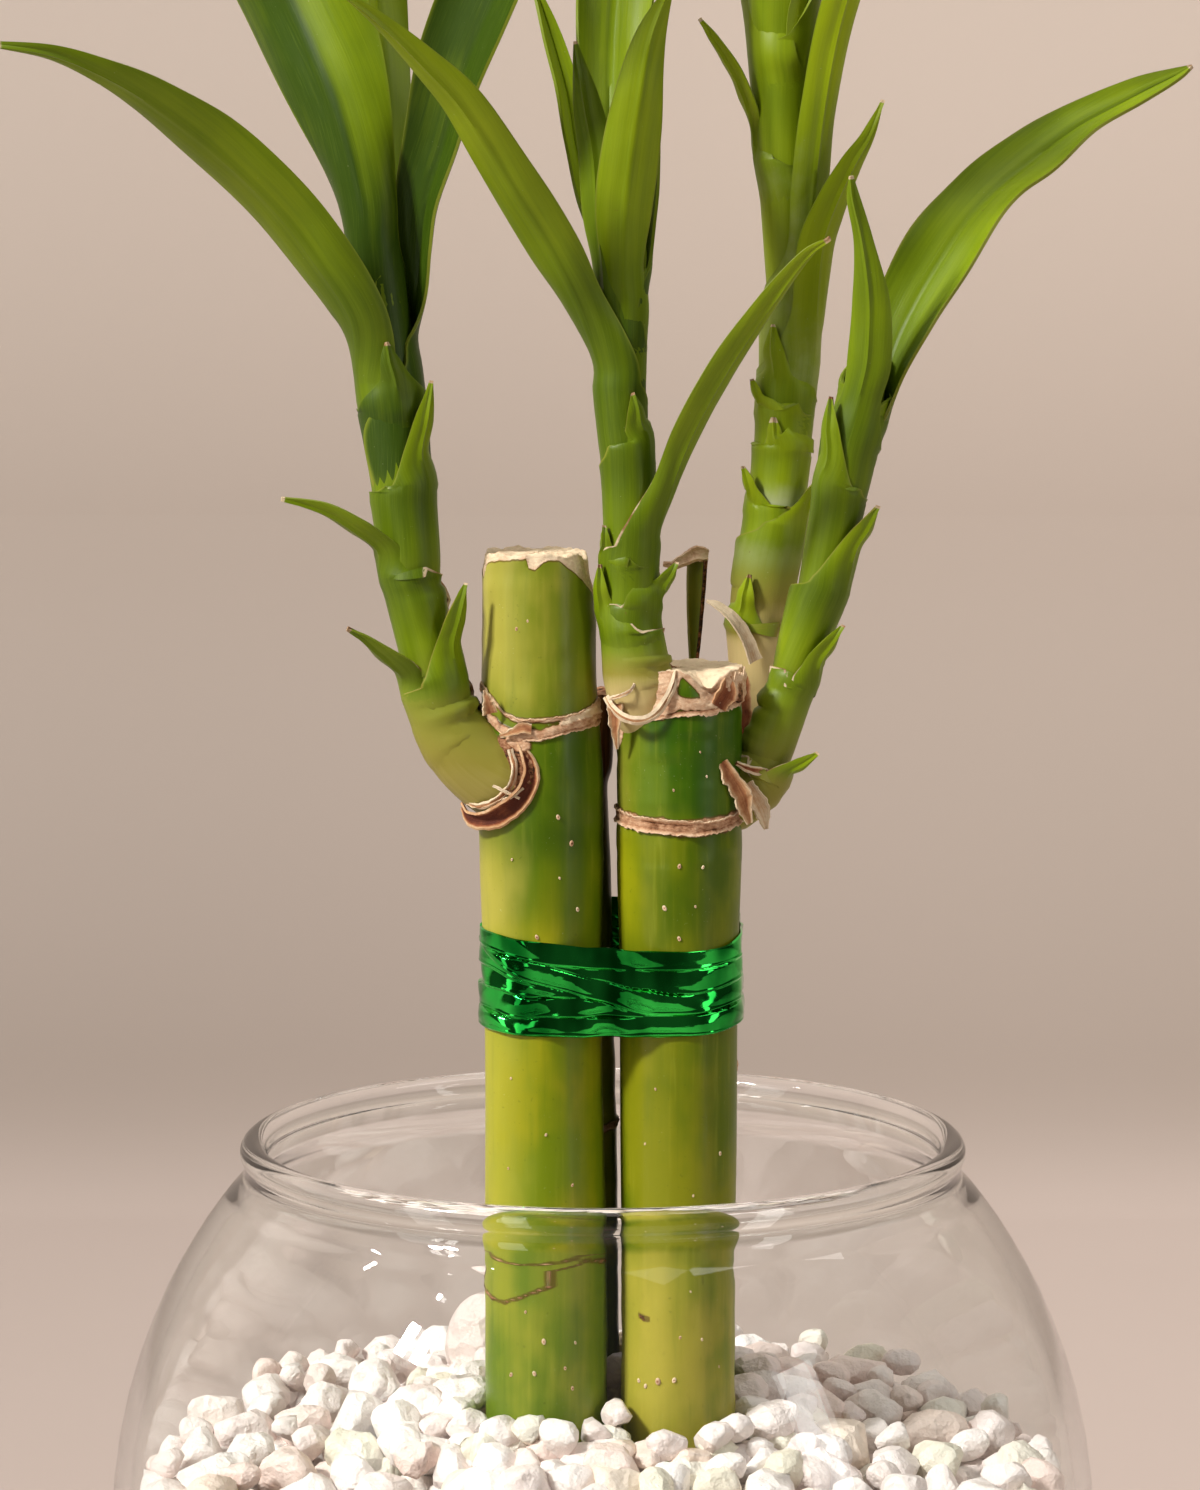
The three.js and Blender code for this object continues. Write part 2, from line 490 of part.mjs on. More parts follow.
// Height of the pebbles' surface: higher round the canes, at the back and in a low heap at the left
function bedHeight(x, y) {
  const rise = BED_RISE * Math.exp(-((x * x + y * y) / (BED_RISE_REACH * BED_RISE_REACH)));
  const away = (x - BED_HEAP.x) ** 2 + (y - BED_HEAP.y) ** 2;
  const heap = BED_HEAP.height * Math.exp(-away / BED_HEAP.reach ** 2);
  return BED_TOP + rise + BED_BACK_RISE * y / BELLY_RADIUS + heap;
}

// One pebble: a dented block, its narrow end towards the glass or the sky and its foot in the bed
function stoneSolid({ place, out, size, turn, dents }) {
  const across = new THREE.Vector3(-Math.sin(turn), Math.cos(turn), 0).cross(out).normalize();
  const up = new THREE.Vector3().crossVectors(out, across);
  const corners = [];
  for (const [share, level] of [[1, -STONE_FOOT], [STONE_TOP_SHARE, STONE_FLATNESS]]) {
    for (let k = 0; k < 4; k += 1) {
      const angle = turn + k * Math.PI / 2;
      const reach = size * share * (1 - STONE_DENT * dents[k]);
      const corner = place.clone().addScaledVector(out, size * level);
      corner.addScaledVector(across, reach * Math.cos(angle));
      corners.push(corner.addScaledVector(up, reach * Math.sin(angle)));
    }
  }
  return toSolid(loft([corners.slice(0, 4), corners.slice(4)]));
}

// Places of the pebbles on one side of the bed: tried at random and kept where there is room
function layStones(layer, random) {
  const stones = [];
  const canes = Object.values(CANES);
  for (const { biggest, smallest, tries } of STONE_DRAWS) {
    for (let i = 0; i < tries; i += 1) {
      const size = biggest - (biggest - smallest) * random();
      const angle = 2 * Math.PI * random();
      const reach = random();
      const turn = 2 * Math.PI * random();
      const dents = [random(), random(), random(), random()];
      const out = new THREE.Vector3(Math.cos(angle), Math.sin(angle), 0);
      const place = new THREE.Vector3();
      if (layer === 'wall') {
        const z = GLASS_FLOOR + size + (BED_TOP - 2.2 * size - GLASS_FLOOR) * reach;
        const inset = GLASS_WALL + STONE_WALL_GAP + STONE_FLATNESS * size;
        const low = Math.max(0, (BELLY_HEIGHT - z) / BELLY_HEIGHT);
        place.copy(out).multiplyScalar(wallRadius(z, inset) - STONE_LOW_INSET * low * low).setZ(z);
        out.z = (z - BELLY_HEIGHT) / (z > BELLY_HEIGHT ? UPPER_REACH : LOWER_REACH);
        out.normalize();
      } else {
        const edge = wallRadius(BED_TOP, GLASS_WALL + STONE_WALL_GAP) - 1.1 * size;
        place.copy(out).multiplyScalar(edge * Math.sqrt(reach));
        place.z = bedHeight(place.x, place.y) - STONE_FLATNESS * size;
        out.set(0, 0, 1);
      }
      const clear = canes.every(({ foot, rows }) => (
        Math.hypot(place.x - foot[0], place.y - foot[1]) > rows[1][1] + STONE_CANE_SHARE * size));
      const free = stones.every((other) => (
        other.place.distanceTo(place) > STONE_CLOSENESS * (other.size + size)));
      if (clear && free) stones.push({ place, out, size, turn, dents });
    }
  }
  return stones;
}

// Pebble bed: a core under a skin of fused pebbles, with one plain hole for each cane
function gravelGeometry(caneTools) {
  const core = [new THREE.Vector2(0, GLASS_FLOOR + GAP)];
  for (const z of [GLASS_FLOOR + GAP, 10, 20, 36, 54, BED_TOP - BED_CORE_DEPTH]) {
    core.push(new THREE.Vector2(wallRadius(z, GLASS_WALL + BED_CORE_INSET), z));
  }
  for (const radius of [44, 24, 0]) {
    core.push(new THREE.Vector2(radius, bedHeight(radius, 0) - BED_CORE_DEPTH));
  }
  const lathe = new THREE.LatheGeometry(core, BED_CORE_SIDES);
  lathe.rotateX(Math.PI / 2);
  const random = makeRandom(STONE_SEED);
  const stones = [...layStones('top', random), ...layStones('wall', random)];
  const { x, y, z, radius, stretch } = WHITE_STONE;
  const whiteStone = new THREE.IcosahedronGeometry(radius, 1);
  whiteStone.scale(1, 1, stretch);
  whiteStone.translate(x, y, z);
  const bed = joinAll([toSolid(lathe), ...stones.map(stoneSolid), toSolid(whiteStone)]);
  return toGeometry(mainBody(cutAll(mainBody(bed, BED_SIMPLIFY_REACH), caneTools)));
}

// Outline round all four canes at one height, this far off their skin
function bandOutline(z, offset) {
  const canes = Object.values(CANES);
  const outline = [];
  for (let i = 0; i < BAND_STATIONS; i += 1) {
    const angle = 2 * Math.PI * i / BAND_STATIONS;
    const out = new THREE.Vector2(Math.cos(angle), Math.sin(angle));
    const reachOf = (cane) => out.dot(new THREE.Vector2(...caneCentre(cane, z))) + caneRadius(cane, z);
    const widest = canes.reduce((best, cane) => (reachOf(cane) > reachOf(best) ? cane : best));
    const [cx, cy] = caneCentre(widest, z);
    const radius = caneRadius(widest, z) + offset;
    outline.push(new THREE.Vector3(cx + radius * out.x, cy + radius * out.y, z));
  }
  return outline;
}

// Foil band: a closed ring whose outer face has one low ridge for each wind
function bandGeometry() {
  const middle = (BAND_BOTTOM + BAND_TOP) / 2;
  const section = [[GAP, BAND_TOP], [GAP, BAND_BOTTOM]];
  const wind = (BAND_TOP - BAND_BOTTOM) / BAND_WINDS;
  for (let i = 0; i < BAND_WINDS; i += 1) {
    section.push([GAP + BAND_THICKNESS, BAND_BOTTOM + i * wind]);
    section.push([GAP + BAND_THICKNESS + BAND_RIDGE, BAND_BOTTOM + (i + 0.5) * wind]);
  }
  section.push([GAP + BAND_THICKNESS, BAND_TOP]);
  const loops = section.map(([offset]) => bandOutline(middle, offset));
  const points = [];
  const faces = [];
  const count = section.length;
  for (let i = 0; i < BAND_STATIONS; i += 1) {
    section.forEach(([, z], k) => points.push(new THREE.Vector3(loops[k][i].x, loops[k][i].y, z)));
    const next = (i + 1) % BAND_STATIONS;
    for (let k = 0; k < count; k += 1) {
      const a = i * count + k;
      const b = i * count + (k + 1) % count;
      const c = next * count + (k + 1) % count;
      const d = next * count + k;
      faces.push(a, c, b, a, d, c);
    }
  }
  const geometry = new THREE.BufferGeometry().setFromPoints(points);
  geometry.setIndex(faces);
  return toGeometry(toSolid(geometry));
}

// Leafy shoot: stem, leaves and scales fused, with its root cut to the cane it grows from
function shootGeometry(shoot, grownCanes) {
  const pieces = [stemSolid(shoot.stem), ...shoot.blades.map(bladeSolid)];
  const tools = [shoot.cane, ...shoot.near].map((name) => grownCanes[name]);
  return toGeometry(mainBody(cutAll(joinAll(pieces), tools)));
}

// Dry collar: a torn sleeve round the root of a shoot, clear of stem, blades and canes
function collarGeometry(shoot, collar, grownCanes) {
  const sleeve = stemSolid(shoot.stem, {
    grow: collar.wall, from: collar.from, to: collar.to, sides: COLLAR_SIDES, steps: 3, tooth: collar.tooth,
  });
  const stem = stemSolid(shoot.stem, { grow: GAP });
  const blades = shoot.blades.map((blade) => bladeSolid({
    ...blade, rows: blade.rows.map(([x, y, z, width]) => [x, y, z, width + 2 * GAP]),
  }));
  const tools = [shoot.cane, ...shoot.near].map((name) => grownCanes[name]);
  return toGeometry(mainBody(cutAll(sleeve, [stem, ...blades, ...tools])));
}

function sliverSolid() {
  const upright = bladeSolid({ rows: SLIVER_ROWS, face: [0, -1, 0], fold: 0.3, steps: 4, wave: 0 });
  const lip = bladeSolid({ rows: SLIVER_LIP, face: [0, 0, 1], fold: 0.1, steps: 3, wave: 0 });
  return upright.add(lip);
}

function caneGeometry(name) {
  const solid = caneSolid(CANES[name]);
  if (name !== 'cane_back_right') return toGeometry(solid);
  return toGeometry(mainBody(solid.add(sliverSolid())));
}

function addPiece(group, name, geometry, color, roughness, metalness) {
  geometry.computeVertexNormals();
  const mesh = new THREE.Mesh(geometry, new THREE.MeshStandardMaterial({ color, roughness, metalness }));
  mesh.name = name;
  group.add(mesh);
  return mesh;
}

const plant = new THREE.Group();
const grownCanes = {};
for (const [name, cane] of Object.entries(CANES)) grownCanes[name] = caneSolid(cane, GAP);

const bowl = addPiece(plant, 'bowl', bowlGeometry(), 0xdfe6e4, 0.05, 0);
bowl.material.transparent = true;
bowl.material.opacity = 0.3;
addPiece(plant, 'gravel', gravelGeometry(Object.values(grownCanes)), 0xf0eae2, 0.8, 0);
for (const [name, cane] of Object.entries(CANES)) {
  addPiece(plant, name, caneGeometry(name), cane.color, 0.45, 0);
}
for (const [name, shoot] of Object.entries(SHOOTS)) {
  addPiece(plant, `shoot_${name}`, shootGeometry(shoot, grownCanes), shoot.color, 0.45, 0);
  const collar = COLLARS[name];
  addPiece(plant, `collar_${name}`, collarGeometry(shoot, collar, grownCanes), collar.color, 0.9, 0);
}
addPiece(plant, 'tie_band', bandGeometry(), 0x0c8a3a, 0.25, 1);

export default plant;
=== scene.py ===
# %% [markdown]
# # Lucky bamboo in a glass bowl
# Four cut canes stand in white pebbles in a round glass bowl, held together by a wound band of green
# foil, and four leafy shoots grow from them. The solids of the part give every piece its place and
# size. This lesson dresses them: each cell makes one piece or one finish, in metres, where it stays.

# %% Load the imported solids
import math

import bpy
import numpy as np
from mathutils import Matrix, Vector


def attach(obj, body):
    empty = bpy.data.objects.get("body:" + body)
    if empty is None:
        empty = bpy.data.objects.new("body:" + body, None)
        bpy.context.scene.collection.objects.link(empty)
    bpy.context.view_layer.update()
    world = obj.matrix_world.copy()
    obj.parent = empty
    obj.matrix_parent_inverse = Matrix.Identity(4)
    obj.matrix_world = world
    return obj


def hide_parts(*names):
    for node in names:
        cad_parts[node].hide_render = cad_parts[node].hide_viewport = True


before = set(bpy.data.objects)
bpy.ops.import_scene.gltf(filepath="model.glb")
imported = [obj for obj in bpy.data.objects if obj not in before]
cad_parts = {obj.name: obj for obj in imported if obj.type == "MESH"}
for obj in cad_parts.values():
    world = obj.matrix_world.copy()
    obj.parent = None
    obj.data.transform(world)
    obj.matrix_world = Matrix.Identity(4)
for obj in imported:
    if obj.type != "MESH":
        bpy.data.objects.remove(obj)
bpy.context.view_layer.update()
# The tables of this lesson hold millimetres, and Blender works in metres
MM = 0.001
bpy.context.scene.view_settings.view_transform = "Standard"

# %% [markdown]
# ## Colours and shader sums
# The finishes are written as sums of patterns. One small class wraps a shader socket, so that plus,
# minus and times on it add Math nodes, and one method adds any other node. Colours are given as they
# look on a screen, from 0 to 255, and turned into the light values that Blender works in.

# %% A screen colour as light values
def tone(red, green, blue):
    channels = [value / 255 for value in (red, green, blue)]
    light = [c / 12.92 if c <= 0.04045 else ((c + 0.055) / 1.055) ** 2.4 for c in channels]
    return (*light, 1.0)


print("middle grey as light:", [round(value, 3) for value in tone(128, 128, 128)])


# %% Sockets that can be added and multiplied
class Wire:
    def __init__(self, finish, socket):
        self.finish = finish
        self.socket = socket

    def math(self, operation, *others):
        return self.finish.node("Math", {"operation": operation}, [self, *others])

    def __add__(self, other):
        return self.math("ADD", other)

    def __sub__(self, other):
        return self.math("SUBTRACT", other)

    def __mul__(self, other):
        return self.math("MULTIPLY", other)

    def __rsub__(self, other):
        return self.finish.node("Math", {"operation": "SUBTRACT"}, [other, self])

    __radd__ = __add__
    __rmul__ = __mul__

    def between(self, low, high):
        # 0 below low, 1 above high, smooth between them
        sockets = {"Value": self, "From Min": low, "From Max": high}
        return self.finish.node("MapRange", {"interpolation_type": "SMOOTHSTEP"}, sockets)


class Finish:
    def __init__(self, name):
        self.material = bpy.data.materials.new(name)
        self.material.use_nodes = True
        self.tree = self.material.node_tree
        self.tree.nodes.clear()

    def node(self, kind, settings=None, sockets=None, out=0):
        new = self.tree.nodes.new("ShaderNode" + kind)
        for key, value in (settings or {}).items():
            if key == "stops":
                ramp = new.color_ramp
                ramp.elements[0].position, ramp.elements[0].color = value[0]
                ramp.elements[1].position, ramp.elements[1].color = value[-1]
                for place, color in value[1:-1]:
                    ramp.elements.new(place).color = color
            else:
                setattr(new, key, value)
        pairs = sockets.items() if isinstance(sockets, dict) else enumerate(sockets or [])
        for key, value in pairs:
            if isinstance(value, Wire):
                self.tree.links.new(value.socket, new.inputs[key])
            else:
                new.inputs[key].default_value = value
        return Wire(self, new.outputs[out]) if new.outputs else new

    def place(self):
        return self.node("TexCoord", out="Object")

    def mark(self, name):
        # A number kept on the piece's points
        return self.node("Attribute", {"attribute_name": name}, out="Fac")

    def part(self, vector, axis):
        return self.node("SeparateXYZ", None, [vector], out=axis)

    def stretch(self, vector, factors):
        return self.node("VectorMath", {"operation": "MULTIPLY"}, [vector, factors])

    def noise(self, vector, scale, detail=3.0, roughness=0.55):
        sockets = {"Vector": vector, "Scale": scale, "Detail": detail, "Roughness": roughness}
        return self.node("TexNoise", None, sockets, out="Fac")

    def cells(self, vector, scale, feature="F1"):
        sockets = {"Vector": vector, "Scale": scale}
        return self.node("TexVoronoi", {"feature": feature}, sockets, out="Distance")

    def blend(self, factor, first, second, way="MIX"):
        settings = {"data_type": "RGBA", "blend_type": way}
        return self.node("Mix", settings, {0: factor, 6: first, 7: second}, out=2)

    def bump(self, height, strength, distance):
        sockets = {"Height": height, "Strength": strength, "Distance": distance}
        return self.node("Bump", None, sockets, out="Normal")

    def close(self, shader):
        self.node("OutputMaterial", None, {"Surface": shader})
        return self.material


# %% [markdown]
# ## Small workshop helpers
# Thin sheets start as a flat grid and rods as a cylinder with rings cut into it. The grid's own place
# says how far across and along a vertex lies, and a function then carries each one to where it belongs.

# %% Select pieces or edges, and read or write a mesh's points
def select_nothing():
    bpy.ops.object.select_all(action="DESELECT")


def select_only(pieces):
    select_nothing()
    for piece in pieces:
        piece.select_set(True)
    bpy.context.view_layer.objects.active = pieces[0]


def pick_edges(piece, wanted):
    # Edit mode has to pick edges, or it would pick all that touches their corners as well
    bpy.ops.object.mode_set(mode="EDIT")
    bpy.ops.mesh.select_mode(type="EDGE")
    bpy.ops.mesh.select_all(action="DESELECT")
    bpy.ops.object.mode_set(mode="OBJECT")
    corners = piece.data.vertices
    for edge in piece.data.edges:
        edge.select = wanted(*(corners[i].co for i in edge.vertices))
    bpy.ops.object.mode_set(mode="EDIT")


def points_of(piece):
    flat = np.empty(len(piece.data.vertices) * 3)
    piece.data.vertices.foreach_get("co", flat)
    return flat.reshape(-1, 3)


def put_points(piece, points):
    piece.data.vertices.foreach_set("co", np.ascontiguousarray(points, dtype=np.float32).ravel())
    piece.data.update()


def put_mark(piece, name, values):
    mark = piece.data.attributes.new(name, "FLOAT", "POINT")
    spread = np.broadcast_to(values, len(piece.data.vertices))
    mark.data.foreach_set("value", spread.astype(np.float32))


def carry(piece, points, marks):
    put_points(piece, points)
    for name, values in marks.items():
        put_mark(piece, name, values)
    return piece


def triangles_of(piece):
    return sum(len(face.vertices) - 2 for face in piece.data.polygons)


# %% Give a sheet its thickness, join pieces, and shade them smooth
def thicken(piece, thick, offset=0):
    # It grows to both sides or, with offset -1, inwards
    select_only([piece])
    bpy.ops.object.modifier_add(type="SOLIDIFY")
    solidify = piece.modifiers[-1]
    solidify.thickness = thick * MM
    solidify.offset = offset
    bpy.ops.object.modifier_apply(modifier=solidify.name)


def join(pieces):
    select_only(pieces)
    bpy.ops.object.join()
    return bpy.context.object


def smooth(piece, degrees):
    # Smooth where two faces meet at less than this angle
    select_only([piece])
    bpy.ops.object.shade_smooth_by_angle(angle=math.radians(degrees))
    return piece


# %% Name a piece, dress it, and say what it stands for
def dress(piece, name, material, nodes):
    piece.name = name
    piece.data.name = name
    piece.data.materials.clear()
    piece.data.materials.append(material)
    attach(piece, "root")
    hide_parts(*nodes)
    print(name, "has", triangles_of(piece), "triangles")


# %% A sheet: a grid carried to shape(across, along), across from -1 to 1 and along from 0 to 1
def sheet(cells_across, cells_along, shape):
    select_nothing()
    bpy.ops.mesh.primitive_grid_add(x_subdivisions=cells_across, y_subdivisions=cells_along, size=2)
    piece = bpy.context.object
    flat = points_of(piece)
    return carry(piece, *shape(flat[:, 0], (flat[:, 1] + 1) / 2))


# %% A rod: a cylinder with rings cut into its wall, carried to shape(turn, along)
MOST_CUTS = 100
FIRST_PARTS = 10


def rod(sides, rings, shape, ends="NGON"):
    select_nothing()
    bpy.ops.mesh.primitive_cylinder_add(vertices=sides, radius=1, depth=2, end_fill_type=ends)
    piece = bpy.context.object
    # One go makes a hundred cuts at most, so many rings are cut in two goes
    for parts in ([rings] if rings <= MOST_CUTS else [FIRST_PARTS, rings // FIRST_PARTS]):
        pick_edges(piece, lambda one, other: abs(other.z - one.z) > MM)
        bpy.ops.mesh.subdivide(number_cuts=parts - 1)
        bpy.ops.object.mode_set(mode="OBJECT")
    round_points = points_of(piece)
    turn = np.arctan2(round_points[:, 1], round_points[:, 0])
    return carry(piece, *shape(turn, (round_points[:, 2] + 1) / 2))


# %% A smooth route through rows of numbers, read at even steps of its length
ROUTE_STEPS = 400


def smooth_route(rows):
    table = np.array(rows, dtype=float)
    before = 2 * table[0] - table[1]
    after = 2 * table[-1] - table[-2]
    padded = np.vstack([before, table, after])
    place = np.linspace(0, len(table) - 1, ROUTE_STEPS)
    row = np.minimum(place.astype(int), len(table) - 2)
    t = (place - row)[:, None]
    a, b, c, d = (padded[row + k] for k in range(4))
    bend = 2 * a - 5 * b + 4 * c - d
    swing = 3 * b - a - 3 * c + d
    curve = 0.5 * (2 * b + (c - a) * t + bend * t ** 2 + swing * t ** 3)
    length = np.concatenate([[0], np.cumsum(np.linalg.norm(np.diff(curve[:, :3], axis=0), axis=1))])
    return curve, length


def read_route(curve, length, share):
    reach = np.clip(share, 0, 1) * length[-1]
    return np.column_stack([np.interp(reach, length, column) for column in curve.T])


def unit(vectors):
    return vectors / np.maximum(np.linalg.norm(vectors, axis=-1, keepdims=True), 1e-9)


def soft_step(values, low, high):
    t = np.clip((values - low) / (high - low), 0, 1)
    return t * t * (3 - 2 * t)


# %% Unevenness: random numbers on a lattice, smoothed, closed in the first direction
def unevenness(seed, first, second, first_cells, second_cells):
    lattice = np.random.default_rng(seed).uniform(-1, 1, (first_cells, second_cells + 2))
    a = np.mod(first, 1) * first_cells
    b = np.clip(second, 0, 1) * second_cells
    i = a.astype(int) % first_cells
    j = b.astype(int)
    fa = soft_step(a - np.floor(a), 0, 1)
    fb = soft_step(b - np.floor(b), 0, 1)
    low = lattice[i, j] * (1 - fa) + lattice[(i + 1) % first_cells, j] * fa
    high = lattice[i, j + 1] * (1 - fa) + lattice[(i + 1) % first_cells, j + 1] * fa
    return low * (1 - fb) + high * fb


print("unevenness at one spot:", unevenness(3, np.array([0.2]), np.array([0.4]), 8, 8))

# %% [markdown]
# ## Glass bowl
# A blown bubble bowl: two half ellipses that meet at the belly, a flat foot and a rolled lip. A lathe
# suits it. One vertex is extruded along the outer face, over the lip and down the inner face, and the
# whole line is spun round the axis, so that the wall has its real thickness and bends light.

# %% Measures of the bowl and its outline, in millimetres
BELLY_RADIUS = 69.5
BELLY_HEIGHT = 54
UPPER_REACH = 74
LOWER_REACH = 64
GLASS_WALL = 2.4
GLASS_FLOOR = 4
RIM_RADIUS = 49.2
RIM_HEIGHT = 108.2
BEAD_HALF_WIDTH = 1.85
BEAD_HALF_HEIGHT = 2.0


def wall_radius(z, inset):
    reach = UPPER_REACH if z > BELLY_HEIGHT else LOWER_REACH
    rise = (z - BELLY_HEIGHT) / (reach - inset)
    return (BELLY_RADIUS - inset) * math.sqrt(max(0.0, 1 - rise * rise))


# Rows of radius and height: the foot from its middle outwards, and the floor inside back to the axis
FOOT = [(0.0, 0.5), (20.0, 0.4), (33.5, 0.0), (36.0, 0.25)]
FLOOR_INSIDE = [(33.0, 4.6), (20.0, 4.1), (0.0, GLASS_FLOOR)]
HEIGHTS_OUTSIDE = (1.2, 3, 6, 10, 15, 20, 26, 32, 38, 44, 50, 56, 62, 68, 74, 79, 84, 88, 92, 95, 98,
                   100.5, 102.5)
HEIGHTS_INSIDE = (102.5, 100, 97, 93, 89, 84, 79, 74, 68, 62, 56, 50, 44, 38, 32, 26, 20, 15, 11, 8.5)
NECK_HEIGHT = 104.2
BEAD_DEGREES = range(-60, 221, 20)


def bowl_outline():
    outside = [(wall_radius(z, 0), z) for z in HEIGHTS_OUTSIDE]
    outside.append((wall_radius(NECK_HEIGHT, 0.2), 104.3))
    bead = [(RIM_RADIUS + BEAD_HALF_WIDTH * math.cos(turn),
             RIM_HEIGHT + BEAD_HALF_HEIGHT * math.sin(turn)) for turn in map(math.radians, BEAD_DEGREES)]
    inside = [(wall_radius(NECK_HEIGHT, GLASS_WALL - 0.3), 104.8)]
    inside += [(wall_radius(z, GLASS_WALL), z) for z in HEIGHTS_INSIDE]
    inside.append((wall_radius(6.6, 4.5), 6.2))
    return FOOT + outside + bead + inside + FLOOR_INSIDE


print("outline of the bowl has", len(bowl_outline()), "points")

# %% Spin the outline
BOWL_STEPS = 120


def make_bowl():
    outline = [Vector((radius * MM, 0, z * MM)) for radius, z in bowl_outline()]
    select_nothing()
    bpy.ops.mesh.primitive_plane_add(size=2 * MM)
    bowl = bpy.context.object
    bpy.ops.object.mode_set(mode="EDIT")
    bpy.ops.mesh.select_all(action="SELECT")
    bpy.ops.mesh.merge(type="CENTER")
    bpy.ops.transform.translate(value=outline[0])
    for here, there in zip(outline, outline[1:]):
        bpy.ops.mesh.extrude_region_move(TRANSFORM_OT_translate={"value": there - here})
    bpy.ops.mesh.select_all(action="SELECT")
    bpy.ops.mesh.spin(steps=BOWL_STEPS, angle=2 * math.pi, center=(0, 0, 0), axis=(0, 0, 1),
                      use_auto_merge=True)
    bpy.ops.mesh.select_all(action="SELECT")
    bpy.ops.mesh.remove_doubles(threshold=1e-6)
    bpy.ops.mesh.normals_make_consistent(inside=False)
    bpy.ops.mesh.faces_shade_smooth()
    bpy.ops.object.mode_set(mode="OBJECT")
    return bowl


# %% [markdown]
# Clear glass is a smooth surface that bends light. A lamp's shadow ray can't follow the bend, and the
# pebbles would stay dark, so shadow and diffuse rays go straight through a plain transparent shader.

# %% Clear glass
def make_glass():
    glass = Finish("clear_glass")
    body = glass.node("BsdfPrincipled", None, {
        "Base Color": (0.975, 0.99, 0.985, 1), "Roughness": 0.0, "IOR": 1.47, "Transmission Weight": 1.0})
    through = glass.node("BsdfTransparent", None, {"Color": (0.965, 0.975, 0.965, 1)})
    shadow = glass.node("LightPath", out="Is Shadow Ray")
    diffuse = glass.node("LightPath", out="Is Diffuse Ray")
    return glass.close(glass.node("MixShader", None, [shadow.math("MAXIMUM", diffuse), body, through]))


dress(make_bowl(), "glass_bowl", make_glass(), ["bowl"])

# %% [markdown]
# ## White pebbles
# Tumbled marble chips, 5 to 10 mm across, rounded but with flat sides. Seven stones are modelled: a
# ball is stretched, a few slices are cut off its sides, and the corners are rubbed round. Their copies
# are laid against the glass and over the bed's surface, each one moved out until it just touches.

# %% Model a few different stones
STONE_KINDS = 7
STONE_CUTS = 7


def make_stone(kind):
    draw = np.random.default_rng(100 + kind)
    select_nothing()
    bpy.ops.mesh.primitive_ico_sphere_add(subdivisions=2, radius=1)
    stone = bpy.context.object
    bpy.ops.object.mode_set(mode="EDIT")
    bpy.ops.mesh.select_all(action="SELECT")
    bpy.ops.transform.resize(value=(1.0, draw.uniform(0.74, 0.95), draw.uniform(0.62, 0.82)))
    for _ in range(STONE_CUTS):
        away = Vector(draw.normal(size=3)).normalized()
        middle = away * draw.uniform(0.5, 0.7)
        bpy.ops.mesh.select_all(action="SELECT")
        bpy.ops.mesh.bisect(plane_co=middle, plane_no=away, use_fill=True, clear_outer=True)
    bpy.ops.mesh.select_all(action="SELECT")
    bpy.ops.mesh.quads_convert_to_tris()
    bpy.ops.mesh.remove_doubles(threshold=0.1)
    bpy.ops.mesh.vertices_smooth(factor=0.3, repeat=1)
    bpy.ops.mesh.normals_make_consistent(inside=False)
    bpy.ops.object.mode_set(mode="OBJECT")
    corners = points_of(stone)
    corners = corners / np.abs(corners).max()
    faces = [tuple(face.vertices) for face in stone.data.polygons]
    bpy.data.objects.remove(stone)
    return corners, faces


stones = [make_stone(kind) for kind in range(STONE_KINDS)]
print("faces of the stones:", [len(faces) for _, faces in stones])

# %% The bed's surface and the canes' places, in millimetres
BED_TOP = 67.2
BED_RISE = 8
BED_RISE_REACH = 34
BED_BACK_RISE = 2.5
BED_HEAP = (-40, 22, 2.2, 17)
CANE_FEET = ((-7.9, -9, 8.4), (10.5, -9, 7.9), (-5.7, 9.7, 8.0), (11.1, 9.7, 7.9))


def bed_height(x, y):
    rise = BED_RISE * math.exp(-((x * x + y * y) / BED_RISE_REACH ** 2))
    heap_x, heap_y, heap_height, heap_reach = BED_HEAP
    heap = heap_height * math.exp(-((x - heap_x) ** 2 + (y - heap_y) ** 2) / heap_reach ** 2)
    return BED_TOP + rise + BED_BACK_RISE * y / BELLY_RADIUS + heap


# %% The same repeatable random draw that laid the bigger pebbles in the solids
def make_random(seed):
    state = [seed]
    whole = 0xFFFFFFFF

    def draw():
        state[0] = (state[0] + 0x6D2B79F5) & whole
        t = state[0]
        t = ((t ^ (t >> 15)) * (1 | t)) & whole
        t = ((t + (((t ^ (t >> 7)) * (61 | t)) & whole)) & whole) ^ t
        return (t ^ (t >> 14)) / 4294967296

    return draw


# %% Lay stones: places tried at random and kept where there is room, the big ones first
STONE_WALL_GAP = 1.3
STONE_LOW_INSET = 2.2
STONE_FLATNESS = 0.8
# In sizes of the stone: room kept under the surface, to the wall, and to a cane's foot
ROOM_UNDER_TOP = 2.2
ROOM_AT_WALL = 1.1
ROOM_AT_FOOT = 0.8
# Rows of the biggest and the smallest size, and how many places are tried
BIG_DRAWS = ((5.4, 5.1, 260), (5.1, 4.8, 240))
SMALL_DRAWS = ((4.8, 4.2, 500), (4.2, 3.6, 1400), (3.6, 3.0, 3000), (3.0, 2.5, 3200))


def near_foot(x, y, room):
    return any(math.hypot(x - fx, y - fy) <= radius + room for fx, fy, radius in CANE_FEET)


def has_room(stones, x, y, z, size, closeness):
    if not stones:
        return True
    spots = np.array([stone[:4] for stone in stones])
    gaps = np.linalg.norm(spots[:, :3] - (x, y, z), axis=1) - closeness * (spots[:, 3] + size)
    return gaps.min() > 0


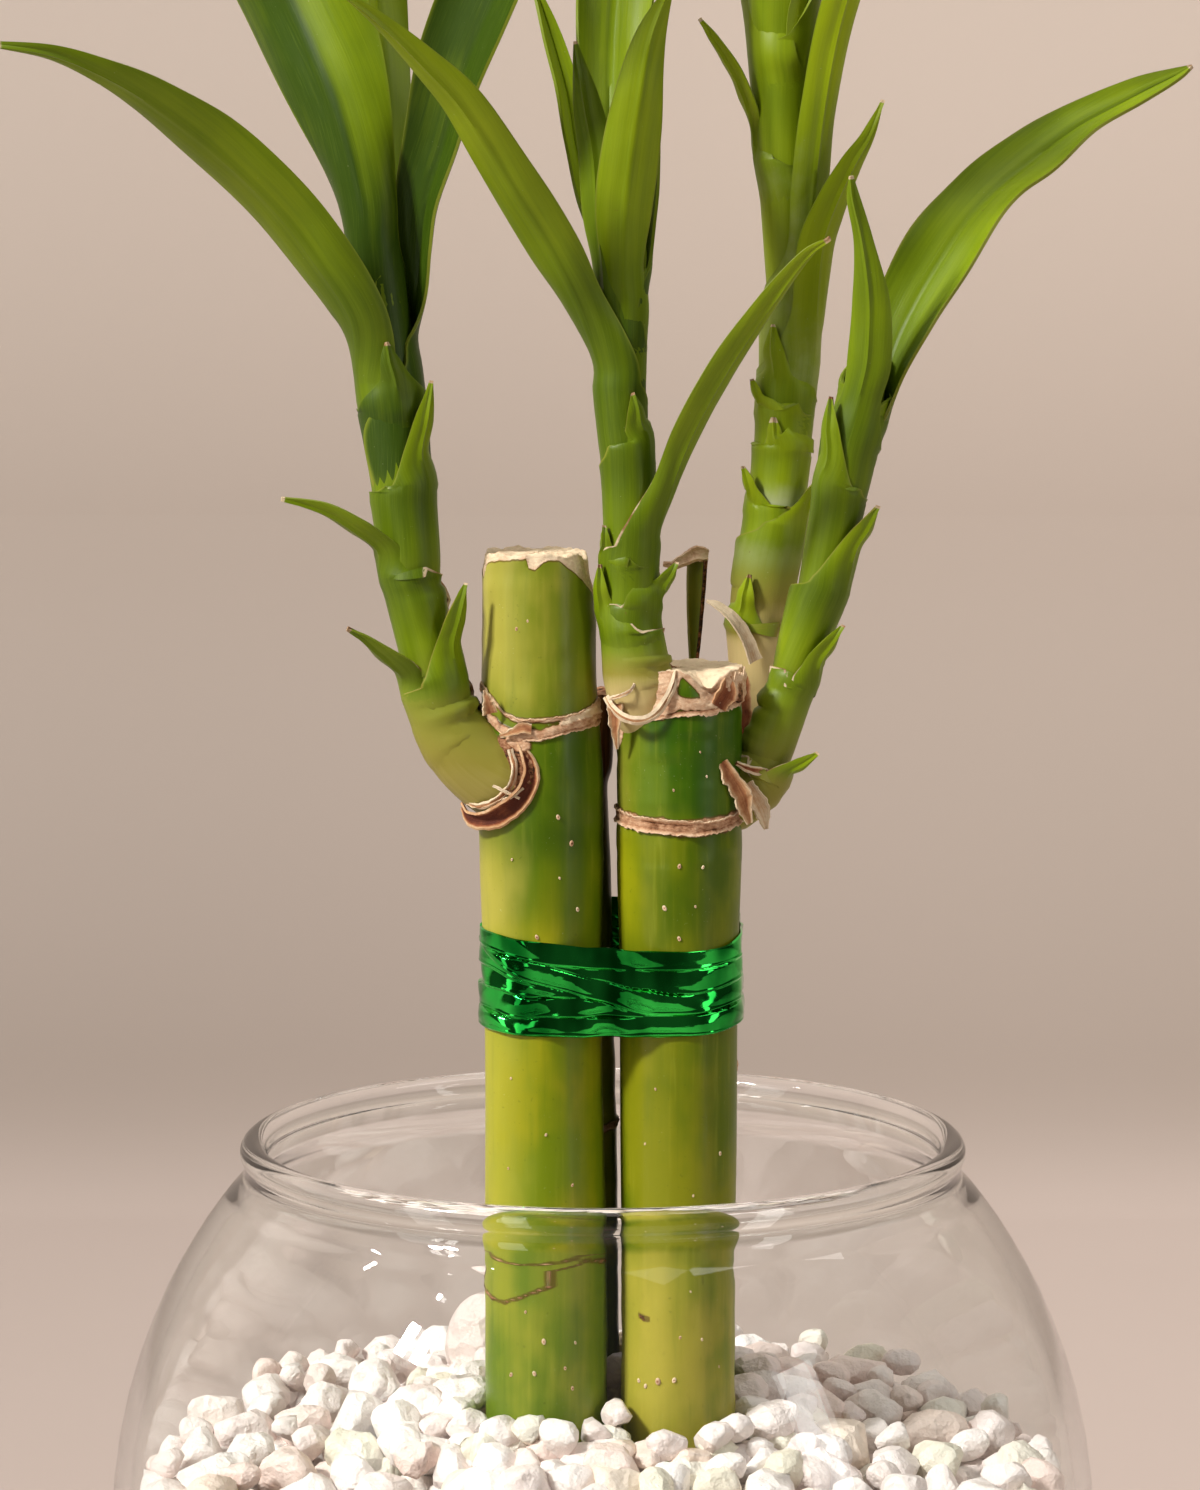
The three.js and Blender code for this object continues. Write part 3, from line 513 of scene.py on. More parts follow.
def lay(layer, random, draws, closeness, stones, depth=0.0):
    for biggest, smallest, tries in draws:
        for _ in range(tries):
            size = biggest - (biggest - smallest) * random()
            angle = 2 * math.pi * random()
            reach = random()
            turn = 2 * math.pi * random()
            # The solids' pebbles take four more numbers each, so these are drawn as well
            for _ in range(4):
                random()
            x, y = math.cos(angle), math.sin(angle)
            if layer == "wall":
                z = GLASS_FLOOR + size + (BED_TOP - ROOM_UNDER_TOP * size - GLASS_FLOOR) * reach
                low = max(0.0, (BELLY_HEIGHT - z) / BELLY_HEIGHT)
                radius = wall_radius(z, GLASS_WALL + STONE_WALL_GAP + STONE_FLATNESS * size)
                radius = radius - STONE_LOW_INSET * low * low - depth
                out = (x, y, (z - BELLY_HEIGHT) / (UPPER_REACH if z > BELLY_HEIGHT else LOWER_REACH))
                x, y = radius * x, radius * y
            else:
                radius = wall_radius(BED_TOP, GLASS_WALL + STONE_WALL_GAP) - ROOM_AT_WALL * size
                radius = radius * math.sqrt(reach)
                x, y = radius * x, radius * y
                z = bed_height(x, y) - STONE_FLATNESS * size - depth
                out = (0, 0, 1)
            if near_foot(x, y, ROOM_AT_FOOT * size):
                continue
            if has_room(stones, x, y, z, size, closeness):
                stones.append((x, y, z, size, out, turn))
    return stones


lay_big = make_random(31)
top = lay("top", lay_big, BIG_DRAWS, 0.97, [])
wall = lay("wall", lay_big, BIG_DRAWS, 0.97, [])
print("bigger pebbles on top and at the wall:", len(top), len(wall))


# %% Stones heaped against the feet of the canes
HEAP_SMALLEST = 2.9
HEAP_SIZES = 1.7
# In sizes of the stone: how near it comes to the cane, and how far out the heap runs
HEAP_NEAREST = 0.84
HEAP_SPREAD = 2.4
HEAP_ROOM_AT_FOOT = 0.74
HEAP_CLOSENESS = 0.64
HEAP_SLOPE = 0.7


def lay_feet(random, tries, stones, heap):
    for _ in range(tries):
        foot_x, foot_y, foot_radius = CANE_FEET[int(4 * random())]
        size = HEAP_SMALLEST + HEAP_SIZES * random()
        angle = 2 * math.pi * random()
        spread = random() ** 1.5
        away = foot_radius + size * (HEAP_NEAREST + HEAP_SPREAD * spread)
        x, y = foot_x + away * math.cos(angle), foot_y + away * math.sin(angle)
        z = bed_height(x, y) + heap * (1 - HEAP_SLOPE * spread) - STONE_FLATNESS * size
        if near_foot(x, y, HEAP_ROOM_AT_FOOT * size):
            continue
        if has_room(stones, x, y, z, size, HEAP_CLOSENESS):
            stones.append((x, y, z, size, (0, 0, 1), 2 * math.pi * random()))
    return stones


lay_feet(make_random(53), 2600, top, 3.4)
filling = lay_feet(make_random(59), 2600, [], 0.2)
print("with the stones at the feet:", len(top), "and under those:", len(filling))
lay_small = make_random(77)
lay("top", lay_small, SMALL_DRAWS, 0.84, top)
lay("wall", lay_small, SMALL_DRAWS, 0.84, wall)
under = lay("top", lay_small, SMALL_DRAWS[:3], 0.86, [], 4.2)
inner = lay("wall", lay_small, SMALL_DRAWS[:3], 0.86, [], 4.6)
print("all pebbles:", len(top), len(wall), len(under), len(inner))


# %% Turn each stone at random, and move it out until it just touches
def turned(corners, out, turn, draw):
    flat = Vector(out).normalized() + Vector(draw.normal(size=3)) * 0.35
    lean = np.array(flat.to_track_quat("Z", "Y").to_matrix())
    cos, sin = math.cos(turn), math.sin(turn)
    spin = np.array([[cos, -sin, 0], [sin, cos, 0], [0, 0, 1]])
    return corners @ (lean @ spin).T


def place_stones(stones_laid, jitter):
    draw = np.random.default_rng(12)
    for x, y, z, size, out, turn in stones_laid:
        corners, faces = stones[draw.integers(STONE_KINDS)]
        shape = turned(corners, out, turn, draw) * size
        way = np.array(out) / np.linalg.norm(out)
        reach = STONE_FLATNESS * size - (shape @ way).max() + draw.uniform(-1.0, 0.35) * jitter
        laid.append((shape + np.array((x, y, z)) + way * reach, faces, draw.uniform()))


laid = []
for stones_laid, jitter in ((top, 1.0), (wall, 0.0), (under, 0.5), (inner, 0.5), (filling, 0.3)):
    place_stones(stones_laid, jitter)

# %% One larger smooth white stone stands behind the left cane
WHITE_STONE = {"x": -16.8, "y": 20, "z": 74.4, "radius": 6.2, "stretch": 1.3}


def keep_inside(points):
    # No corner reaches into the glass
    flat = np.hypot(points[:, 0], points[:, 1])
    limit = np.array([wall_radius(z, GLASS_WALL + 0.25) for z in points[:, 2]])
    pull = np.minimum(1, limit / np.maximum(flat, 1e-6))
    z = np.maximum(points[:, 2], GLASS_FLOOR + 0.35)
    return np.column_stack([points[:, 0] * pull, points[:, 1] * pull, z])


def make_pebbles():
    points = []
    faces = []
    tints = []
    start = 0
    for shape, sides, tint in laid:
        points.append(keep_inside(shape))
        faces += [tuple(start + i for i in side) for side in sides]
        tints += [tint] * len(shape)
        start += len(shape)
    bed = bpy.data.meshes.new("bed")
    bed.from_pydata((np.vstack(points) * MM).tolist(), [], faces)
    bed.shade_smooth()
    pebbles = bpy.data.objects.new("bed", bed)
    bpy.context.collection.objects.link(pebbles)
    put_mark(pebbles, "tint", np.array(tints))
    select_nothing()
    bpy.ops.mesh.primitive_ico_sphere_add(subdivisions=4, radius=WHITE_STONE["radius"] * MM)
    big = bpy.context.object
    round_points = points_of(big) * (1, 0.9, WHITE_STONE["stretch"])
    turn = np.arctan2(round_points[:, 1], round_points[:, 0]) / (2 * math.pi)
    swell = 1 + 0.05 * unevenness(5, turn, round_points[:, 2] / 0.019 + 0.5, 5, 4)
    place = [WHITE_STONE[axis] * MM for axis in ("x", "y", "z")]
    put_points(big, round_points * swell[:, None] + place)
    put_mark(big, "tint", np.array([0.97]))
    bpy.ops.object.shade_smooth()
    return join([pebbles, big])


# %% [markdown]
# Marble chips are white to cream, and here and there one is pinkish, peach or a pale yellow-green.
# Each stone carries one number, and a ramp turns it into that stone's own tint. Noise adds faint
# clouds and veins, and a fine bump keeps the surface dull.

# %% Matt marble
def make_marble():
    marble = Finish("matt_marble")
    place = marble.place()
    stops = [(0.0, tone(250, 241, 236)), (0.35, tone(247, 234, 229)), (0.55, tone(244, 227, 222)),
             (0.68, tone(246, 222, 212)), (0.78, tone(250, 242, 238)), (0.88, tone(238, 232, 212)),
             (0.93, tone(244, 222, 206)), (0.97, tone(230, 213, 207)), (1.0, tone(248, 238, 232))]
    tint = marble.node("ValToRGB", {"stops": stops}, [marble.mark("tint")])
    clouds = marble.noise(place, 260, 4).between(0.42, 0.72)
    veins = marble.noise(marble.stretch(place, (1, 1, 2.2)), 520, 5, 0.65).between(0.55, 0.68)
    color = marble.blend(clouds * 0.22, tint, tone(232, 218, 208))
    color = marble.blend(veins * 0.16, color, tone(206, 188, 176))
    grain = marble.noise(place, 2400, 3)
    lumps = marble.noise(place, 330, 3)
    facets = marble.cells(place, 330)
    rough = grain * 0.25 + 0.46
    normal = marble.bump(lumps * 0.8 + facets * 0.9 + grain * 0.16, 0.75, 0.0015)
    return marble.close(marble.node("BsdfPrincipled", None, {
        "Base Color": color, "Roughness": rough, "Normal": normal, "IOR": 1.5}))


dress(make_pebbles(), "white_pebbles", make_marble(), ["gravel"])

# %% [markdown]
# ## Canes
# A cane is a straight stem that was cut across, with a torn papery ring at each old leaf, bare wood at
# the cut and small breathing spots. A cylinder with some three hundred rings cut into its wall has
# enough points for that relief. Each point carries how far it lies outside the nearest cork, so the
# finish can draw the cork's torn edge finer than the mesh is.

# %% Measures of the canes, in millimetres: centre, rows of height and radius, and where rings lie close
BEND_HEIGHT = 88
CANES = {
    "front_left_cane": {
        "node": "cane_left", "seed": 11, "sides": 160, "rings": 330,
        "foot": (-7.9, -9), "head": (-8.9, -9),
        "rows": [(12, 8.3), (60, 8.4), (90, 8.5), (122, 8.1), (136, 8.1), (150, 8.5), (163, 8.6),
                 (172, 8.0), (184, 7.8), (193.2, 7.6)],
        "pace": [(0, 12), (0.03, 72), (0.24, 98), (0.33, 150), (1, 193.2)],
    },
    "front_right_cane": {
        "node": "cane_right", "seed": 12, "sides": 160, "rings": 290,
        "foot": (10.5, -9), "head": (10.5, -9),
        "rows": [(12, 7.8), (60, 7.9), (90, 7.9), (122, 8.1), (136, 8.2), (150, 8.6), (160, 8.5),
                 (168, 8.6), (174, 8.5), (177.5, 8.1)],
        "pace": [(0, 12), (0.03, 72), (0.24, 98), (0.36, 150), (1, 177.5)],
    },
    "back_left_cane": {
        "node": "cane_back_left", "seed": 13, "sides": 80, "rings": 200,
        "foot": (-5.7, 9.7), "head": (-6.9, 9.7),
        "rows": [(12, 7.9), (60, 8.0), (90, 8.0), (136, 7.8), (150, 7.6), (158, 7.4), (162, 8.2),
                 (172.3, 8.3)],
        "pace": [(0, 12), (0.05, 70), (1, 172.3)],
    },
    "back_right_cane": {
        "node": "cane_back_right", "seed": 14, "sides": 80, "rings": 200,
        "foot": (11.1, 9.7), "head": (10.9, 9.7),
        "rows": [(12, 7.8), (60, 7.9), (90, 7.9), (136, 7.9), (158, 8.0), (168, 7.9), (173, 7.7)],
        "pace": [(0, 12), (0.05, 70), (1, 173)],
    },
}


def cane_centre(cane, z):
    t = np.maximum(0, (z - BEND_HEIGHT) / (cane["rows"][-1][0] - BEND_HEIGHT))
    (fx, fy), (hx, hy) = cane["foot"], cane["head"]
    return fx + (hx - fx) * t, fy + (hy - fy) * t


def cane_radius(cane, z):
    curve, _ = smooth_route([(height, 0, 0, radius) for height, radius in cane["rows"]])
    return np.interp(z, curve[:, 0], curve[:, 3])


# %% Patches of cork: rows of angle from the front in degrees, lowest and highest height
def ring(rows, half):
    return [(angle, height - half, height + half) for angle, height in rows]


def above(rows, top):
    return [(angle, height, top) for angle, height in rows]


CORK = {
    "front_left_cane": [
        # The upper ring, the band under it and the pale scab between them on the right
        dict(rows=ring([(-180, 172.2), (-120, 172.9), (-90, 173.9), (-68, 174.4), (-54, 173.3),
                        (-34, 171.1), (-15, 170.3), (7, 170.6), (27, 170.9), (52, 171.4), (80, 172.6),
                        (180, 172.2)], 0.26), rag=0.12, lift=0.22, pale=0.75),
        dict(rows=ring([(-180, 170.6), (-90, 171.3), (-58, 170.5), (-38, 169.3), (-22, 168.5),
                        (2, 168.6), (31, 169.7), (72, 170.5), (180, 170.6)], 0.6), rag=0.2, lift=0.3,
             pale=0.55),
        dict(rows=[(20, 170.0, 170.3), (32, 169.9, 171.0), (46, 170.2, 171.5), (62, 170.6, 172.1),
                   (90, 171.0, 172.7), (130, 171.4, 172.0)], rag=0.2, lift=0.3, pale=1.0),
        dict(rows=[(-33, 167.8, 168.6), (-24, 165.6, 168.6), (-16, 165.6, 168.4), (-8, 166.6, 167.4)],
             rag=0.2, lift=0.3, pale=0.5),
        # The scar that the torn collar of the left shoot stands on
        dict(rows=[(-140, 159, 166), (-88, 156.4, 168.0), (-60, 156.9, 168), (-41, 157.8, 168),
                   (-21, 159.3, 167.5), (-9, 161.9, 166.0), (-4, 163.6, 164.4)], rag=0.1, lift=0.2,
             pale=0.15),
        # Bare wood at the cut, with a tongue at the front and a long facet on the right
        dict(rows=above([(-180, 192), (-140, 191.8), (-100, 190.6), (-76, 189.4), (-66, 191.6),
                         (-45, 191.9), (-17, 192.4), (-11, 192.6), (-9, 191.3), (-2, 190.9), (4, 191.7),
                         (11, 192.2), (23, 192.1), (41, 190.5), (66, 187.9), (90, 185.8), (112, 187.2),
                         (140, 191), (180, 192)], 200), rag=0.14, lift=-0.18, pale=0.9, facet=0.6),
        # Thin old leaf lines in the bowl
        dict(rows=ring([(-180, 94.6), (-72, 94.3), (-24, 93.5), (10, 94.1), (41, 94.8), (180, 94.6)],
                       0.11), rag=0.1, lift=0.1, pale=0.5),
        dict(rows=ring([(-180, 91.6), (-81, 90.2), (-58, 89.4), (-40, 89.4), (-10, 91.2), (0, 91.8),
                        (41, 94.0), (90, 92.4), (180, 91.6)], 0.13), rag=0.1, lift=0.1, pale=0.35),
    ],
    "front_right_cane": [
        # The low ring, two corky lips with a groove between them
        dict(rows=ring([(-180, 157.6), (-90, 156.9), (-40, 156.3), (9, 155.7), (40, 156.0), (88, 157.2),
                        (180, 157.6)], 1.0), rag=0.2, lift=0.12, pale=0.35),
        # Torn papery rind under the cut, its lower edge in points
        dict(rows=above([(-180, 171.4), (-120, 170.6), (-90, 167.4), (-72, 166.4), (-62, 168.6),
                         (-40, 170.1), (-19, 170.9), (0, 171.8), (18, 171.7), (37, 172.1), (62, 172.7),
                         (90, 172.3), (180, 171.4)], 190), rag=0.42, lift=0.16, pale=0.62,
             hole=[(-3, 174.2, 174.8), (1, 173.7, 176.6), (8, 173.6, 175.8), (19, 173.5, 173.9)]),
        dict(rows=[(22, 174.7, 174.9), (28, 174.1, 174.9), (35, 173.7, 174.6), (42, 173.5, 173.6)],
             rag=0.0, lift=-0.5, pale=-0.8),
        dict(rows=[(42, 175.5, 176), (50, 173.4, 190), (66, 172.6, 190), (84, 172.9, 190),
                   (94, 174, 176)], rag=0.25, lift=0.5, pale=0.12),
        dict(rows=[(-44, 87.2, 87.6), (-38, 86.7, 87.4), (-32, 86.9, 87.1)], rag=0.1, lift=0.1, pale=0.3),
    ],
    "back_left_cane": [
        dict(rows=ring([(-180, 110.4), (0, 109.6), (180, 110.4)], 0.5), rag=0.2, lift=0.4, pale=0.5),
        dict(rows=above([(-180, 171.4), (0, 171.2), (180, 171.4)], 190), rag=0.4, lift=0, pale=0.3)],
    "back_right_cane": [
        dict(rows=ring([(-180, 118.4), (0, 118), (180, 118.4)], 0.5), rag=0.2, lift=0.4, pale=0.5),
        dict(rows=ring([(-180, 165.4), (0, 164.8), (180, 165.4)], 0.6), rag=0.2, lift=0.4, pale=0.5),
        dict(rows=above([(-180, 172), (0, 171.8), (180, 172)], 190), rag=0.4, lift=0, pale=0.7)],
}


# A degree round a cane is about this long
MM_PER_DEGREE = 0.15


def cork_gap(patch, angle, z, seed):
    # Millimetres from a point to the patch's edge, negative inside the patch
    rows = np.array(patch["rows"], dtype=float)
    low = np.interp(angle, rows[:, 0], rows[:, 1])
    high = np.interp(angle, rows[:, 0], rows[:, 2])
    share = angle / 360 + 0.5

    def tear(first):
        coarse = unevenness(first, share, 0 * z, 46, 1)
        return patch["rag"] * (coarse + 0.6 * unevenness(first + 1, share, 0 * z, 110, 1))

    beyond = np.maximum(rows[0, 0] - angle, angle - rows[-1, 0]) * MM_PER_DEGREE
    gap = np.maximum(np.maximum(low + tear(seed) - z, z - high - tear(seed + 2)), beyond)
    if "hole" in patch:
        gap = np.maximum(gap, -cork_gap({"rows": patch["hole"], "rag": 0.12}, angle, z, seed + 4))
    return gap


# %% How much lower the cut lies than the cane's full height, by the angle from the front
def cut_depth(name, angle):
    share = angle / 360 + 0.5
    torn = unevenness(31, share, 0 * angle, 30, 1) + 0.5 * unevenness(32, share, 0 * angle, 90, 1)
    if name == "front_left_cane":
        right_dip = 1.1 * np.exp(-((angle - 78) / 16) ** 2)
        return 0.35 + 0.3 * torn + right_dip + 0.5 * np.exp(-((angle + 80) / 14) ** 2)
    if name == "front_right_cane":
        return 0.25 + 0.22 * torn + 2.3 * np.exp(-((angle - 26) / 17) ** 2)
    return 0.5 + 0.5 * torn


# %% Make one cane: its wall first, then its cut face, narrowing to the middle
WALL_SHARE = 0.92
# How far the middle of the cut lies under the cane's full height, and how pale its wood is
CUT_LEVEL = {"front_left_cane": 0.5, "front_right_cane": 0.6}
CUT_PALE = {"back_left_cane": 0.2}


def around_cane(cane, z, radius, turn, height):
    cx, cy = cane_centre(cane, z)
    return np.column_stack([cx + radius * np.cos(turn), cy + radius * np.sin(turn), height]) * MM


def cane_shape(name, cane):
    seed = cane["seed"]
    pace = np.array(cane["pace"], dtype=float)
    highest = pace[-1, 1]

    def shape(turn, along):
        wall = np.minimum(along / WALL_SHARE, 1)
        inward = np.clip((along - WALL_SHARE) / (1 - WALL_SHARE), 0, 1)
        angle = np.degrees(np.arctan2(np.cos(turn), -np.sin(turn)))
        share = angle / 360 + 0.5
        z = np.interp(wall, pace[:, 0], pace[:, 1])
        radius = cane_radius(cane, z)
        z = z - cut_depth(name, angle) * soft_step(z, highest - 9, highest)
        relief = 0.10 * unevenness(seed, share, wall, 9, 26)
        relief = relief + 0.04 * unevenness(seed + 1, share, wall, 30, 10)
        gap = 2.0 + 0 * z
        pale = 0.5 + 0 * z
        for place, patch in enumerate(CORK[name]):
            here = cork_gap(patch, angle, z, 40 * seed + 7 * place)
            pale = np.where(here < np.minimum(gap, 0.3), patch["pale"], pale)
            relief += patch["lift"] * soft_step(-here, -0.12, 0.22)
            if "facet" in patch:
                relief -= patch["facet"] * soft_step(-here, 0.0, 4.5)
            gap = np.minimum(gap, here)
        # Cork is lumpy
        lumps = unevenness(seed + 6, share, (z - 150) / 44, 130, 110)
        relief += 0.13 * lumps * soft_step(-gap, -0.05, 0.2)
        radius = (radius + relief) * (1 - 0.985 * inward)
        fibre = 0.16 * unevenness(seed + 7, share, inward, 34, 9)
        fibre = (fibre + 0.10 * unevenness(seed + 8, share, inward, 90, 12)) * (inward > 0)
        level = highest - CUT_LEVEL.get(name, 0.8)
        sink = soft_step(inward, 0.0, 0.5)
        height = np.where(inward > 0, z * (1 - sink) + level * sink + fibre, z)
        gap = np.where(inward > 0, -1.0, gap)
        pale = np.where(inward > 0, CUT_PALE.get(name, 0.95), pale)
        return around_cane(cane, z, radius, turn, height), {"gap": gap, "pale": pale}

    return shape


# %% [markdown]
# The thin torn lips of the old leaves stand off the rind, so they are ribbons of their own that follow
# a line round the cane. The breathing spots are small corky domes: one is modelled, and copies of it
# are laid on the rind.

# %% A torn lip: rows of angle, height, how tall the lip is and how far it leans out
LIP_THICK = 0.16
LIP_STEP = 0.22
LIP_RAG = 0.2
LIP_RAG_CELLS = (17, 61, 149, 290)
LIP_PALE_LOW, LIP_PALE_HIGH = 0.15, 0.72


def make_lip(name, rows, seed):
    cane = CANES[name]
    table = np.array(rows, dtype=float)

    def shape(u, v):
        angle = np.interp(v, np.linspace(0, 1, len(table)), table[:, 0])
        z, tall, lean = (np.interp(angle, table[:, 0], table[:, k]) for k in (1, 2, 3))
        share = angle / 360 + 0.5
        rise = (u + 1) / 2
        ragged = 1 + sum(LIP_RAG * unevenness(seed + k, share, 0 * v, cells, 1)
                         for k, cells in enumerate(LIP_RAG_CELLS))
        ends = np.minimum(1, 8 * np.minimum(v, 1 - v) + 0.15)
        height = tall * ragged * ends * rise
        curl = 0.12 * unevenness(seed + 2, share, rise, 30, 3)
        around = np.radians(angle - 90)
        radius = cane_radius(cane, z) + 0.05 + 0.75 * lean * ends * rise ** 1.3 + curl * rise
        pale = LIP_PALE_LOW + (LIP_PALE_HIGH - LIP_PALE_LOW) * rise
        return around_cane(cane, z, radius, around, z + height), {"gap": 0 * v - 1, "pale": pale}

    around_mm = abs(table[-1, 0] - table[0, 0]) * MM_PER_DEGREE
    lip = sheet(5, int(around_mm / LIP_STEP), shape)
    thicken(lip, LIP_THICK)
    return lip


LIPS = {
    "front_left_cane": [
        ([(-100, 173.6, 0.6, 0.3), (-72, 174.3, 1.1, 0.45), (-66, 174.0, 1.2, 0.5),
          (-54, 173.0, 0.7, 0.35), (-34, 170.9, 0.5, 0.35), (-15, 170.1, 0.45, 0.35),
          (7, 170.4, 0.45, 0.3), (27, 170.7, 0.4, 0.3), (52, 171.2, 0.5, 0.35), (80, 172.4, 0.6, 0.35),
          (110, 172.4, 0.5, 0.3)], 801),
        ([(-48, 169.4, -0.5, 0.35), (-22, 168.2, -0.45, 0.3), (2, 168.2, -0.35, 0.25),
          (31, 169.2, -0.4, 0.3), (72, 170.0, -0.6, 0.35), (100, 170.2, -0.4, 0.3)], 804)],
    "front_right_cane": [
        ([(-112, 157.6, 0.5, 0.4), (-90, 157.3, 0.5, 0.45), (-40, 156.7, 0.55, 0.5),
          (9, 156.1, 0.55, 0.5), (40, 156.4, 0.5, 0.45), (88, 157.6, 0.6, 0.5), (112, 157.8, 0.5, 0.4)],
         811),
        ([(-112, 156.7, -0.55, 0.45), (-90, 156.5, -0.6, 0.5), (-40, 155.9, -0.6, 0.55),
          (9, 155.3, -0.6, 0.5), (40, 155.6, -0.55, 0.5), (88, 156.8, -0.6, 0.5),
          (112, 157.0, -0.5, 0.4)], 814),
        ([(-52, 169.6, -0.7, 0.25), (-30, 170.8, -0.5, 0.25), (0, 171.8, -0.5, 0.25),
          (18, 171.8, -0.6, 0.3), (37, 172.2, -0.7, 0.35), (62, 172.9, -0.8, 0.4),
          (80, 172.8, -0.6, 0.4)], 817),
        # The mottled flap at the right of the cut
        ([(46, 173.6, 1.8, 0.2), (52, 173.2, 2.9, 0.7), (62, 172.9, 3.5, 1.0), (72, 172.9, 3.4, 1.1),
          (82, 173.2, 2.6, 0.9), (92, 173.6, 1.2, 0.3)], 821)],
}

# Breathing spots on the side that is seen: x, height and size in millimetres
SPOTS = {
    "front_left_cane": [(-6.1, 157.3, 0.55), (-4.3, 153.6, 0.6), (-3.5, 144.4, 0.5), (-9.0, 140.8, 0.5),
                        (-12.4, 151.4, 0.3), (-10.2, 184.0, 0.3), (-11.7, 182.9, 0.4),
                        (-5.9, 148.9, 0.3), (-12.6, 121.0, 0.3), (-7.8, 113.4, 0.35),
                        (-4.2, 106.2, 0.35), (-13.0, 108.4, 0.3), (-8.1, 84.4, 0.6), (-9.4, 79.9, 0.55),
                        (-12.6, 79.4, 0.5), (-5.2, 80.6, 0.4), (-3.8, 84.0, 0.35), (-4.2, 77.6, 0.45),
                        (-10.6, 88.4, 0.35), (-6.6, 99.4, 0.3)],
    "front_right_cane": [(14.1, 162.8, 0.3), (13.2, 166.2, 0.25), (9.6, 161.0, 0.3), (10.4, 150.6, 0.5),
                         (13.6, 150.4, 0.4), (8.4, 144.8, 0.6), (10.4, 140.6, 0.5), (12.6, 145.0, 0.3),
                         (16.1, 110.3, 0.45), (7.2, 119.6, 0.3), (12.4, 104.8, 0.3), (5.8, 111.8, 0.3),
                         (5.0, 78.2, 0.5), (5.9, 77.6, 0.5), (7.6, 78.5, 0.75), (9.8, 78.8, 0.6),
                         (10.6, 84.8, 0.35), (13.6, 84.4, 0.35), (12.0, 91.2, 0.3), (16.0, 80.2, 0.3)],
    "back_left_cane": [(-9.4, 148.0, 0.4)],
    "back_right_cane": [(14.2, 146.0, 0.4)],
}


# A spot is a little narrower and flatter than it is tall, with a dimple like a crater's mouth
SPOT_STRETCH = (0.75, 1.1, 0.55)
SPOT_SCALE = 0.66


def make_spot():
    select_nothing()
    bpy.ops.mesh.primitive_uv_sphere_add(segments=12, ring_count=8, radius=1)
    bpy.ops.object.mode_set(mode="EDIT")
    bpy.ops.mesh.select_all(action="SELECT")
    bpy.ops.mesh.bisect(plane_co=(0, 0, -0.3), plane_no=(0, 0, -1), use_fill=True, clear_outer=True)
    bpy.ops.mesh.select_all(action="SELECT")
    bpy.ops.transform.resize(value=SPOT_STRETCH)
    bpy.ops.object.mode_set(mode="OBJECT")
    spot = bpy.context.object
    corners = points_of(spot)
    off_axis = corners[:, 0] ** 2 + corners[:, 1] ** 2
    corners[:, 2] -= 0.3 * np.exp(-off_axis / 0.1) * (corners[:, 2] > 0)
    put_points(spot, corners)
    return spot


one_spot = make_spot()
spot_corners = points_of(one_spot)


def lay_spots(name):
    cane = CANES[name]
    draw = np.random.default_rng(cane["seed"])
    laid_spots = []
    for x, z, size in SPOTS[name]:
        cx, cy = (float(value) for value in cane_centre(cane, z))
        radius = float(cane_radius(cane, z))
        side = np.clip((x - cx) / radius, -0.97, 0.97)
        normal = np.array((side, -math.sqrt(1 - side * side), 0))
        if name.startswith("back"):
            normal[1] = -normal[1]
        across = np.array((-normal[1], normal[0], 0))
        lean = draw.uniform(-0.5, 0.5)
        upward = np.array((0, 0, 1.0)) * math.cos(lean) + across * math.sin(lean)
        sideways = np.cross(upward, normal)
        axes = np.array([sideways, upward, normal])
        spot = one_spot.copy()
        spot.data = one_spot.data.copy()
        bpy.context.collection.objects.link(spot)
        place = np.array((cx, cy, z)) + normal * radius
        put_points(spot, (spot_corners @ axes * size * SPOT_SCALE + place) * MM)
        # Pale at the edge and brown in the dimple
        dimple = np.exp(-(spot_corners[:, 0] ** 2 + spot_corners[:, 1] ** 2) / 0.12)
        put_mark(spot, "gap", np.array([-1.0]))
        put_mark(spot, "pale", draw.uniform(0.6, 1.1) - 0.7 * dimple)
        laid_spots.append(spot)
    return laid_spots


# %% [markdown]
# The rind is coated with wax: green with yellow clouds, and on its side towards the light more yellow
# clouds are painted, as painted light. It has fine lengthwise streaks and pale dust near the rings.
# Each stretch between two rings has its own tint. Cork is tan, darker in its grooves and along its torn
# edge, and the cut shows the wood's fibres.

# %% The rind's tints by height, and clouds on one side, the yellow ones painted light
def rind_tints(rind, place, streaks, wide, tints, clouds):
    height = rind.part(place, "Z")
    across = rind.part(place, "X")
    broad = rind.noise(rind.stretch(place, (1, 1, 0.5)), 60, 2, 0.5)
    patchy = (wide * 0.6 + broad * 0.4 + (streaks - 0.5) * 0.12).between(0.42, 0.62)
    color = None
    for start, green, gold in tints:
        # Each tint starts at a height in metres and mixes two colours
        here = rind.blend(patchy, tone(*green), tone(*gold))
        if color is not None:
            here = rind.blend(height.between(start - 0.004, start + 0.003), color, here)
        color = here
    for low, high, edge, side, share, gold in clouds:
        # A cloud on one side of the cane: heights, where it starts across, which side, how strong, its
        # colour. The yellow ones on the left, towards the window, are painted light
        cloud = height.between(low - 0.006, low + 0.006) * height.between(high + 0.006, high - 0.006)
        reach = (across + (wide - 0.5) * 0.012).between(edge + 0.003 * side, edge - 0.003 * side)
        color = rind.blend(cloud * reach * share, color, tone(*gold))
    return color


